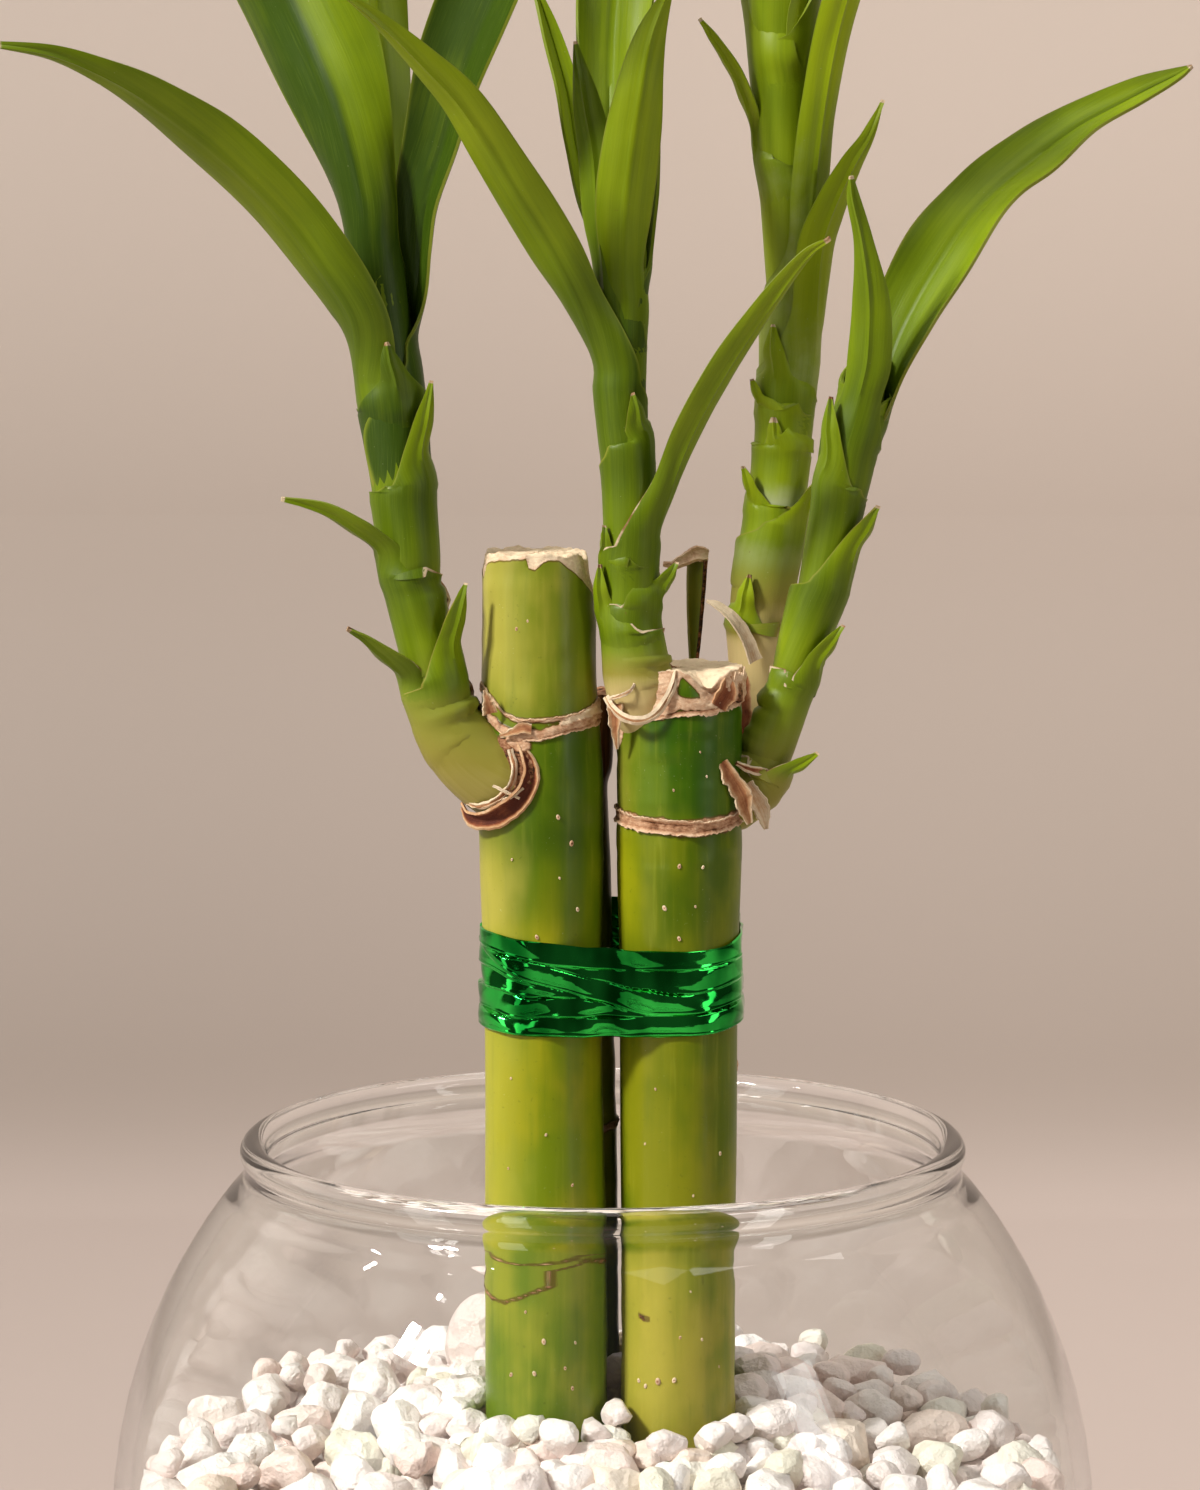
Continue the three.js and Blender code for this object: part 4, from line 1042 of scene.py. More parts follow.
# %% Cork and bare wood over the rind, by the numbers on the points
def close_rind(rind, place, color, streaks, specks, wide):
    grain = rind.noise(rind.stretch(place, (1, 1, 1.8)), 1500, 5, 0.7)
    lump = rind.noise(place, 520, 3, 0.6)
    gap = rind.mark("gap") + (grain - 0.5) * 0.3
    cork = gap.between(0.06, -0.04)
    rim = gap.between(0.34, 0.1) * (1 - cork)
    pale = rind.mark("pale") + (grain - 0.5) * 0.9 + (lump - 0.5) * 0.9 - gap.between(-0.3, 0.05) * 0.18
    stops = [(0.0, tone(48, 30, 14)), (0.12, tone(120, 74, 44)), (0.36, tone(180, 134, 100)),
             (0.6, tone(212, 174, 140)), (0.95, tone(236, 212, 178))]
    tan = rind.node("ValToRGB", {"stops": stops}, [pale])
    color = rind.blend(rim * 0.75, color, tone(92, 62, 26))
    color = rind.blend(cork, color, tan)
    rough = cork * 0.36 + 0.34 + (wide - 0.5) * 0.16 + (specks - 0.5) * 0.1
    height = streaks * 0.12 * (1 - cork) + cork * (grain * 1.1 + lump * 0.6)
    normal = rind.bump(height, 0.6, 0.0003)
    return rind.close(rind.node("BsdfPrincipled", None, {
        "Base Color": color, "Roughness": rough, "Normal": normal, "IOR": 1.4,
        "Specular IOR Level": 0.3}))


# %% Waxy rind, with cork and wood, in one finish
def make_rind(name, tints, clouds):
    rind = Finish(name)
    place = rind.place()
    streaks = rind.noise(rind.stretch(place, (1, 1, 0.06)), 800, 4, 0.6)
    wide = rind.noise(rind.stretch(place, (1, 1, 0.6)), 105, 3, 0.5)
    specks = rind.noise(place, 1500, 2)
    color = rind_tints(rind, place, streaks, wide, tints, clouds)
    color = rind.blend(streaks.between(0.55, 0.8) * 0.16, color, tone(176, 178, 70))
    color = rind.blend(streaks.between(0.45, 0.2) * 0.16, color, tone(60, 84, 8))
    color = rind.blend(specks.between(0.68, 0.75) * 0.3, color, tone(64, 76, 14))
    dust = rind.noise(place, 3200, 2).between(0.70, 0.76) * rind.noise(place, 160, 2).between(0.5, 0.7)
    color = rind.blend(dust * 0.55, color, tone(214, 214, 170))
    if name == "back_cane_rind":
        # The upper end of the left one has dried to brown
        dry = (rind.part(place, "Z") + (wide - 0.5) * 0.02).between(0.150, 0.160)
        dry = dry * rind.part(place, "X").between(0.006, 0.003)
        brown = rind.blend(streaks.between(0.4, 0.65), tone(74, 42, 18), tone(116, 78, 42))
        color = rind.blend(dry, color, brown)
    return close_rind(rind, place, color, streaks, specks, wide)


# %% The rinds: tints, each from a height upwards, and clouds, the yellow ones painted light on the lit left sides
RINDS = {
    # Yellow-green in the bowl and under the band, deep green under the node, a paler top
    "left_cane_rind": (
        [(0.0, (102, 124, 28), (148, 152, 46)), (0.098, (108, 126, 10), (150, 148, 20)),
         (0.143, (86, 110, 6), (116, 126, 12)), (0.152, (66, 92, 5), (90, 112, 9)),
         (0.1716, (112, 126, 24), (150, 149, 50))],
        [(0.138, 0.1535, -0.0118, 1, 0.7, (186, 174, 76)),
         (0.098, 0.130, -0.0118, 1, 0.6, (176, 170, 58)),
         (0.175, 0.196, -0.0128, 1, 0.7, (184, 172, 80)),
         (0.172, 0.196, -0.0030, -1, 0.5, (128, 140, 14))]),
    "right_cane_rind": (
        [(0.0, (114, 126, 24), (164, 154, 56)), (0.096, (90, 106, 8), (126, 128, 16)),
         (0.142, (74, 96, 4), (114, 124, 8)), (0.1565, (52, 88, 4), (92, 116, 14))],
        [(0.140, 0.1545, 0.0050, 1, 0.65, (172, 168, 22)),
         (0.157, 0.166, 0.0045, 1, 0.6, (168, 150, 60)), (0.070, 0.096, 0.0100, 1, 0.5, (196, 180, 70))]),
    "back_cane_rind": (
        [(0.0, (96, 112, 14), (140, 138, 34)), (0.142, (84, 96, 12), (112, 108, 20))], []),
}
rinds = {name: make_rind(name, *looks) for name, looks in RINDS.items()}
print("rinds:", list(rinds))


# %% [markdown]
# A dry sliver of rind still stands above the cut of the cane behind on the right. It is a narrow curled
# strip with a pale lip that hooks to the left, modelled as a sheet on a route and joined to that cane.

# %% A plain maker of curled strips, which the papery pieces use too
STRIP_STEP = 0.3


def strip(rows, face, curl, thick, torn, seed, across, marks, rag=6):
    # Rows hold place and width, and may hold a facing of their own
    table = [row if len(row) == 7 else (*row, *face) for row in rows]
    curve, length = smooth_route(table)

    def shape(u, v):
        row = read_route(curve, length, v)
        ahead = read_route(curve, length, v + 0.01) - read_route(curve, length, v - 0.01)
        along = unit(ahead[:, :3])
        side = unit(np.cross(along, unit(row[:, 4:7])))
        normal = np.cross(side, along)
        edge = (u > 0) * 0.5 + 0.1
        ragged = 1 + torn * unevenness(seed, edge, v, 4, rag)
        ragged = ragged + torn * 0.5 * unevenness(seed + 1, edge, v, 4, rag * 3)
        half = np.maximum(row[:, 3] / 2 * ragged, 0.1)
        angle = u * curl
        radius = half / curl
        crumple = torn * 0.5 * unevenness(seed + 2, u * 0.3 + 0.4, v, 5, 9)
        points = row[:, :3] + side * (radius * np.sin(angle))[:, None]
        points = points + normal * (radius * (1 - np.cos(angle)) + crumple)[:, None]
        return points * MM, marks(u, v)

    piece = sheet(across, int(np.clip(length[-1] / STRIP_STEP, 8, 110)), shape)
    thicken(piece, thick)
    return piece


# %% The dry sliver and its lip
def rind_marks(gap, pale):
    return lambda u, v: {"gap": gap(u) + 0 * v, "pale": pale + 0 * v}


def make_sliver():
    rows = [(12.9, 13.6, 166, 1.6), (12.9, 14, 173, 0.9), (13.1, 14, 180, 2.0), (13.3, 14, 186, 2.7),
            (13.5, 14, 190, 2.9)]
    green = strip(rows, (-0.2, -1, 0), 0.8, 0.5, 0.06, 4, 10,
                  rind_marks(lambda u: 0.9 - 1.1 * soft_step(u, 0.5, 0.9), 0.1))
    lip_rows = [(14.9, 14.2, 190.6, 2.0), (13.4, 13.8, 190.9, 2.2), (11.6, 13.2, 190.1, 1.7),
                (10.0, 12.8, 189.4, 1.1), (8.6, 12.4, 189.6, 0.4)]
    lip = strip(lip_rows, (0.1, -0.9, 0.35), 0.8, 0.5, 0.2, 8, 8, rind_marks(lambda u: -1.0, 0.62))
    return [green, lip]


# %% Build the four canes
def make_cane(name):
    cane = CANES[name]
    piece = rod(cane["sides"], cane["rings"], cane_shape(name, cane))
    extras = lay_spots(name) + [make_lip(name, rows, seed) for rows, seed in LIPS.get(name, [])]
    if name == "back_right_cane":
        extras += make_sliver()
    return smooth(join([piece, *extras]), 55)


for name, rind, slot in (("front_left_cane", "left_cane_rind", "cane"),
                         ("front_right_cane", "right_cane_rind", "cane"),
                         ("back_left_cane", "back_cane_rind", "cane_back"),
                         ("back_right_cane", "back_cane_rind", "cane_back")):
    dress(make_cane(name), name, rinds[rind], [CANES[name]["node"]])
bpy.data.objects.remove(one_spot)

# %% [markdown]
# ## Foil band
# Thin metallic green tape, wound about four times round the four canes and pulled tight, so it runs
# straight from cane to cane. An open cylinder with many small faces is carried onto that outline. The
# edges of the winds are steps across it, some of them slanting. Between them the tape has soft slanting
# flutes, leans in and out, and ends in a folded lip.

# %% Outline round the canes, in millimetres
BAND_HEIGHT = 134
OUTLINE_READINGS = 4001


def band_outline(turn):
    out = np.column_stack([np.cos(turn), np.sin(turn)])
    middles = np.array([cane_centre(cane, BAND_HEIGHT) for cane in CANES.values()])
    radii = np.array([float(cane_radius(cane, BAND_HEIGHT)) for cane in CANES.values()])
    reach = np.column_stack([out @ middle + radius for middle, radius in zip(middles, radii)])
    widest = reach.argmax(axis=1)
    return middles[widest] + out * radii[widest][:, None]


def even_outline(count):
    # Places at even steps along the outline, straight stretches included
    loop = band_outline(np.linspace(-math.pi, math.pi, OUTLINE_READINGS))
    steps = np.concatenate([[0], np.cumsum(np.linalg.norm(np.diff(loop, axis=0), axis=1))])
    want = np.linspace(0, steps[-1], count, endpoint=False)
    spots = np.column_stack([np.interp(want, steps, column) for column in loop.T])
    ahead = np.roll(spots, -1, axis=0) - np.roll(spots, 1, axis=0)
    return spots, unit(np.column_stack([ahead[:, 1], -ahead[:, 0]]))


# %% Edges of the winds across the front, from the top down: rows of x and height
# Two winds share their edge from the middle to the right
MEETING = [(-3.6, 132.8), (-0.9, 132.1), (1.8, 131.3), (4.7, 130.3), (7.4, 130.0), (12.8, 130.2),
           (19.2, 131.4)]
WIND_EDGES = [
    [(-16.9, 141.6), (-15.5, 141.0), (-8.8, 140.1), (0.1, 139.3), (10.1, 138.8), (16.4, 139.3),
     (19.2, 140.6)],
    [(-17.2, 139.4), (-16.4, 139.0), (-13.9, 138.1), (-8.0, 137.0), (-3.1, 136.6), (3.4, 136.1),
     (10.1, 136.1), (15.0, 136.5), (19.3, 137.4)],
    [(-17.2, 139.4), (-16.4, 139.0), (-13.9, 138.1), (-8.0, 136.9), (-6.9, 136.4), (-3.1, 135.4),
     (0.7, 134.4), (3.4, 133.8), (6.1, 133.4), (10.4, 132.8), (14.2, 133.1), (19.2, 134.4)],
    [(-17.2, 139.2), (-16.2, 138.6), (-15.3, 137.6), (-11.5, 135.1), (-8.0, 133.9), *MEETING],
    [(-17.2, 136.4), (-15.0, 135.8), (-12.0, 134.6), (-8.0, 133.6), *MEETING],
    [(-17.2, 133.5), (-14.2, 133.1), (-10.1, 132.3), (-3.4, 132.3), (-0.9, 131.8), (1.8, 131.0),
     (4.7, 130.2), (7.4, 129.9), (12.8, 130.1), (19.2, 131.3)],
    [(-17.4, 130.5), (-15.5, 130.0), (-11.5, 129.3), (-6.9, 129.7), (0.7, 129.7), (7.4, 129.8),
     (12.8, 130.0), (19.2, 131.2)],
    [(-17.4, 127.8), (-14.2, 127.2), (-3.6, 127.0), (11.5, 127.1), (16.9, 127.6), (19.4, 128.4)],
]
# How far each wind stands out at its upper edge, and how much it bulges
WIND_STEPS = (0.30, 0.22, 0.42, 0.30, 0.22, 0.34, 0.48)
WIND_BULGES = (0.16, 0.22, 0.34, 0.26, 0.22, 0.3, 0.42)
BAND_STATIONS = 460
BAND_RINGS = 96
# In millimetres: the tape, how near the canes it comes, and half a fold's width
TAPE_THICK = 0.1
LEAST_OFFSET = 0.12
FOLD = 0.14
# How far the flutes, the finer ones and the lean stand out, and the size and place of the folded lip
FLUTES = 0.30
FINE_FLUTES = 0.22
LEAN = 0.34
LIP_SIZE = 0.12
LIP_ABOVE = 0.3
LIP_HALF = 0.2
# The flutes slant by this share of the way round, every other wind the other way
SLANT = 0.022


def wind_edges(x, out_y):
    # Across the back every edge runs straight from its right end to its left one
    edges = []
    for rows in WIND_EDGES:
        table = np.array(rows)
        curve, _ = smooth_route([(px, 0, pz) for px, pz in rows])
        front = np.interp(x, curve[:, 0], curve[:, 2])
        back = np.interp(x, (table[0, 0], table[-1, 0]), (table[0, 1], table[-1, 1]))
        edges.append(np.where(out_y < 0, front, back))
    for lower in range(1, len(edges)):
        edges[lower] = np.minimum(edges[lower], edges[lower - 1])
    return edges


# %% The band's shape: every wind bulges between its edges and steps down at the lower one
def band_shape(turn, along):
    loop, out = even_outline(BAND_STATIONS)
    station = np.round((turn + math.pi) / (2 * math.pi) * BAND_STATIONS).astype(int) % BAND_STATIONS
    share = station / BAND_STATIONS
    edges = [edge[station] for edge in wind_edges(loop[:, 0], out[:, 1])]
    wobble = 0.10 * unevenness(61, share, 0 * along, 40, 1)
    top = edges[0] + wobble
    bottom = edges[-1] + 0.12 * unevenness(62, share, 0 * along, 34, 1)
    z = bottom + (top - bottom) * along
    offset = TAPE_THICK + 0 * z
    for place, (step, bulge) in enumerate(zip(WIND_STEPS, WIND_BULGES)):
        upper, lower = edges[place] + wobble, edges[place + 1] + wobble
        wide = np.maximum(upper - lower, 0.05)
        t = np.clip((z - lower) / wide, 0, 1)
        # The share of this wind fades over a fold's width, so that slanting edges stay smooth
        inside = soft_step(z, lower - FOLD, lower + FOLD)
        inside = inside * (1 - soft_step(z, upper - FOLD, upper + FOLD))
        # Each wind has soft slanting flutes across it, and leans in and out along its length
        slant = SLANT * (-1) ** place
        flutes = FLUTES * unevenness(84 + place, share + slant * t, 0 * t, 30, 1)
        flutes = flutes + FINE_FLUTES * unevenness(95 + place, share - slant * t, 0 * t, 16, 1)
        lean = LEAN * unevenness(75 + place, share + 0.6 * slant * t, 0 * t, 24, 1)
        arch = 4 * t * (1 - t) * np.minimum(1, wide / 2.2)
        here = step * (0.72 + 0.28 * t) + bulge * arch * 0.6
        here = here + (flutes + lean * (t - 0.5)) * np.minimum(1, wide / 1.5)
        # The tape's folded lip along its lower edge
        lip = LIP_SIZE * np.exp(-((z - lower - LIP_ABOVE) / LIP_HALF) ** 2)
        offset = offset + inside * (here + lip * np.minimum(1, wide))
    offset = np.maximum(offset, LEAST_OFFSET)
    return np.column_stack([loop[station] + out[station] * offset[:, None], z]) * MM, {}


def make_band():
    band = rod(BAND_STATIONS, BAND_RINGS, band_shape, ends="NOTHING")
    thicken(band, TAPE_THICK, -1)
    return smooth(band, 48)


# %% [markdown]
# Foil is a mirror with a colour: metallic, with little roughness. What makes it look like foil is what
# it mirrors and how its surface bends that, so a soft broad unevenness and a few fine crinkles go into
# the bump, and the green deepens here and there.

# %% Emerald foil
def make_foil():
    foil = Finish("emerald_foil")
    place = foil.place()
    crinkle = foil.cells(foil.stretch(place, (1, 1, 2.2)), 300, "DISTANCE_TO_EDGE")
    fine = foil.noise(foil.stretch(place, (1, 1, 1.4)), 1700, 4, 0.6)
    broad = foil.noise(foil.stretch(place, (1.5, 1.5, 0.6)), 150, 2, 0.4)
    height = crinkle.between(0, 0.3) * 0.03 + fine * 0.006 + broad * 0.7
    normal = foil.bump(height, 0.5, 0.0006)
    color = foil.blend(broad.between(0.3, 0.7), tone(10, 104, 34), tone(56, 208, 84))
    rough = fine * 0.05 + 0.06
    return foil.close(foil.node("BsdfPrincipled", None, {
        "Base Color": color, "Metallic": 1.0, "Roughness": rough, "Normal": normal}))


dress(make_band(), "foil_tie_band", make_foil(), ["tie_band"])

# %% [markdown]
# ## Leafy shoots
# Every leaf and scale of this plant starts as a sleeve wrapped round the shoot. Higher up, the sleeve
# opens along one side, its margins draw apart in a long V, and it runs out into a blade or, on the
# scales, into a short point. So one sheet makes them all: wrapped on the stem, opening, then free.

# %% Stems of the shoots, in millimetres: rows of centre x, y, z and width
STEMS = {
    "left": [(-11, -10.5, 161, 13), (-15, -11, 163, 12.4), (-18.6, -11.6, 165.8, 11),
             (-21.6, -12, 169.8, 9.4), (-23, -12.2, 175, 7.9), (-24.5, -12.2, 182, 7.4),
             (-25.8, -12, 190, 7.9), (-27, -11.6, 200, 7.9), (-28.3, -11, 211, 8.1),
             (-29.6, -10.6, 222, 7.4), (-31, -10.4, 234, 6.4), (-32, -10.2, 244, 3.4)],
    "middle": [(8.8, -8.8, 167, 6.6), (6.3, -11.3, 171.0, 9.4), (5.1, -12.8, 175, 9.6),
               (4.4, -13, 179.4, 8), (3.9, -13, 184, 7.2), (3.8, -13, 191.8, 6.8),
               (3.6, -13, 202.6, 6.3), (2.7, -13, 211, 6.3), (2.4, -13, 220.4, 6.1),
               (2.6, -13, 230, 5.2), (2.8, -12.4, 240, 3.2)],
    "back": [(15.4, 9.9, 159, 8), (18.8, 10, 163, 8.6), (21, 10.2, 168, 8.4), (21.6, 10.5, 173, 7.2),
             (22, 11, 179, 8), (22.6, 11.5, 185, 8.8), (23.8, 12, 192.4, 8.2), (25.1, 13, 202, 7.6),
             (26.1, 14, 214, 7.4), (26.4, 14, 227, 7.3), (26.2, 14, 241, 7.7), (25.4, 14, 256, 7.9),
             (25.2, 14, 269, 8.6), (25.6, 13.8, 281, 6.6), (26, 13.6, 294, 3.4)],
    "right": [(14.2, -8.4, 156.6, 7.2), (18.2, -7.8, 158.6, 8.4), (21, -7, 161.6, 8.2),
              (23.2, -6.6, 166.6, 7), (25.2, -6.4, 172, 6), (27.6, -6.2, 180.4, 6.2),
              (29.5, -6, 186, 6.8), (30.8, -5.8, 191.6, 6.4), (32.6, -5.6, 199.6, 6.8),
              (33.9, -5.4, 206.8, 7), (35.8, -5.2, 214, 6.2), (37, -5, 222, 3)],
}
# Heights between which the cream of each shoot's root turns green, and how strong it is
CREAM = {"left": (160.5, 188, 0.74), "middle": (172, 185, 1.0), "back": (176, 200, 1.0),
         "right": (156, 184, 0.66)}
# The back shoot is the youngest; its greens are lifted most, as painted light against the shoots' shade
SHOOT_TONE_AND_PAINTED_LIGHT = {"left": 0.0, "middle": 0.1, "back": 0.75, "right": 0.35}


def cream_at(shoot, z):
    low, high, most = CREAM[shoot]
    return most * (1 - soft_step(z, low, high))


def stem_at(shoot, z):
    # Centre, direction and radius of the stem at a height
    curve, _ = smooth_route(STEMS[shoot])
    place = np.array([np.interp(z, curve[:, 2], curve[:, k]) for k in range(4)])
    above = np.array([np.interp(z + 1, curve[:, 2], curve[:, k]) for k in range(3)])
    return place[:3], unit(above - place[:3]), place[3] / 2


# %% One leaf: sleeve heights (start, parting, free), the way it grows out, then the free rows
FULL_CURL = 3.2
NARROWEST = 0.12
# Readings of the route on which the parting is looked for, before the blade turns over
SLEEVE_READINGS = 260
# How a leaf looks where nothing else is said: sizes in millimetres, and shares from 0 to 1
PLAIN_LEAF = {"torn": 0.0, "crimp": 0.12, "keel": 0.35, "pale": 0.0, "rim": 0.35, "dry_tip": 0.6,
              "dry_rim": 0.0, "half_tone": 0.0, "bloom": 0.0, "wave": 0.0, "tone": 0.0}


def leaf(shoot, sleeve, out, face, rows, fold=0.3, open_curl=1.45, swell=0.55, **looks):
    start, parting, free = sleeve
    table = []
    out = np.array((*out, 0), dtype=float)
    for z, curl, lift in ((start, FULL_CURL, -0.55),
                          (start + 0.35 * (parting - start), FULL_CURL, -0.1),
                          (parting, 3.05, 0.12 + 0.3 * swell),
                          (0.4 * parting + 0.6 * free, open_curl + 0.35, 0.15 + 0.8 * swell),
                          (free, open_curl, 0.15 + swell)):
        centre, along, radius = stem_at(shoot, z)
        away = unit(out - along * (out @ along))
        radius = radius + lift
        table.append((*(centre + away * radius), curl * radius, curl, *(-away)))
    free_face = unit(np.array(face, dtype=float))
    for place, (x, y, z, width) in enumerate(rows):
        curl = 2 * fold if place else max(2 * fold, 0.75 * open_curl)
        table.append((x, y, z, max(width / 2, NARROWEST), curl, *free_face))
    curve, length = smooth_route(table)
    curve[:, 4] = np.clip(curve[:, 4], 0.05, 3.25)
    share = 0
    if parting > start:
        share = np.interp(parting, curve[:SLEEVE_READINGS, 2], length[:SLEEVE_READINGS]) / length[-1]
    return {"shoot": shoot, "curve": curve, "length": length, "parting": share, **PLAIN_LEAF, **looks}


# %% How pale, dry, dark and wax-coated a leaf is, painted light included, across (u) and along (v)
def leaf_marks(made, u, v, half, free, z):
    parting, length = made["parting"], made["length"][-1]
    reach = v * length
    pale = 0.6 * made["pale"] * (1 - soft_step(v, 0.0, parting + 0.2))
    pale = np.maximum(pale, 0.3 * (1 - soft_step(v / max(parting, 0.02), 0.0, 0.7)))
    pale = np.maximum(pale, cream_at(made["shoot"], z) * (1 - 0.8 * free))
    rim = made["rim"] * soft_step(np.abs(u), 0.93, 1.0)
    tip = soft_step(reach, length - made["dry_tip"], length)
    torn_rim = made["dry_rim"] * soft_step(np.abs(u), 0.86, 0.97)
    torn_rim = torn_rim * (1 - soft_step(v, parting + 0.05, parting + 0.35))
    # The leaf's own tone, plus painted light: the shoot's lift and, on some blades, a painted lit half
    dark = SHOOT_TONE_AND_PAINTED_LIGHT[made["shoot"]] + made["tone"] + made["half_tone"] * soft_step(-u, 0.0, 0.2) * free
    dark = dark - 0.6 * np.exp(-((v - parting - 0.06) / 0.2) ** 2)
    return {"pale": np.clip(pale + rim, 0, 1), "dry": np.clip(tip + torn_rim, 0, 1), "tone": dark,
            "bloom": made["bloom"] * (1 - soft_step(v, 0.2, 0.6)), "vein": u * half / 4.0,
            "reach": reach / 10}


# %% The shape of a leaf: a sheet on its route, curled, ragged, rippled and creased
RIPPLE_PACE = 23.4
RIPPLE_SHIFT = 1.7
LEAF_THICK = 0.42
LOOK_AHEAD = 0.004


def leaf_shape(made, seed):
    curve, length, parting = made["curve"], made["length"], made["parting"]

    def shape(u, v):
        row = read_route(curve, length, v)
        ahead = read_route(curve, length, v + LOOK_AHEAD) - read_route(curve, length, v - LOOK_AHEAD)
        along = unit(ahead[:, :3])
        side = unit(np.cross(along, unit(row[:, 5:8])))
        normal = np.cross(side, along)
        half = np.maximum(row[:, 3], NARROWEST)
        curl = row[:, 4]
        free = soft_step(v, parting, min(1.0, parting + 0.25))
        edge = (u > 0) * 0.5 + 0.1
        half = half * (1 + 0.035 * free * unevenness(seed, edge, v, 4, 9))
        half = half * (1 + made["torn"] * unevenness(seed + 9, edge, v, 4, 30) * (curl > 0.9))
        angle = u * curl
        radius = half / curl * (1 + 0.05 * u * soft_step(curl, 1.2, 3.0))
        ripple = made["wave"] * np.sin(RIPPLE_PACE * v + RIPPLE_SHIFT * u)
        lift = ripple * np.abs(u) ** 1.5 * np.sin(math.pi * v) * free
        crimp = made["crimp"] * free * unevenness(seed + 3, u * 0.24 + 0.4, v, 6, 12)
        # A crease along the middle of the blade, deeper than the round of the trough
        keel = made["keel"] * free * (1 - np.minimum(1, np.abs(u) * 4)) ** 2
        points = row[:, :3] + side * (radius * np.sin(angle))[:, None]
        points = points + normal * (radius * (1 - np.cos(angle)) + lift + crimp - keel)[:, None]
        return points * MM, leaf_marks(made, u, v, half, free, points[:, 2])

    return shape


def make_leaf(made, seed):
    across = 20 if made["curve"][:, 3].max() > 6 else 16
    steps = int(np.clip(made["length"][-1] / 0.8, 36, 120))
    piece = sheet(across, steps, leaf_shape(made, seed))
    thicken(piece, LEAF_THICK)
    return piece


# %% The stem's own core, under the sleeves: it narrows from a share of its length on
CORE_TOP = 0.97
CORE_SIDES = 40
CORE_RINGS = 90


def make_core(shoot, narrows):
    curve, length = smooth_route(STEMS[shoot])

    def shape(turn, along):
        row = read_route(curve, length, CORE_TOP * along)
        ahead = read_route(curve, length, CORE_TOP * along + 0.01) - row
        way = unit(ahead[:, :3])
        across = unit(np.cross(np.array((0.0, 1.0, 0.0)), way))
        deep = np.cross(way, across)
        share = turn / (2 * math.pi)
        radius = row[:, 3] / 2 * (1 - 0.12 * soft_step(along, narrows, narrows + 0.1))
        radius = radius + 0.12 * unevenness(71, share, along, 9, 14)
        points = row[:, :3] + across * (radius * np.cos(turn))[:, None]
        points = points + deep * (radius * np.sin(turn))[:, None]
        marks = {"pale": cream_at(shoot, points[:, 2]), "dry": 0.0, "tone": SHOOT_TONE_AND_PAINTED_LIGHT[shoot],
                 "bloom": 0.0, "vein": share * 6, "reach": along * 5}
        return points * MM, marks

    return rod(CORE_SIDES, CORE_RINGS, shape)


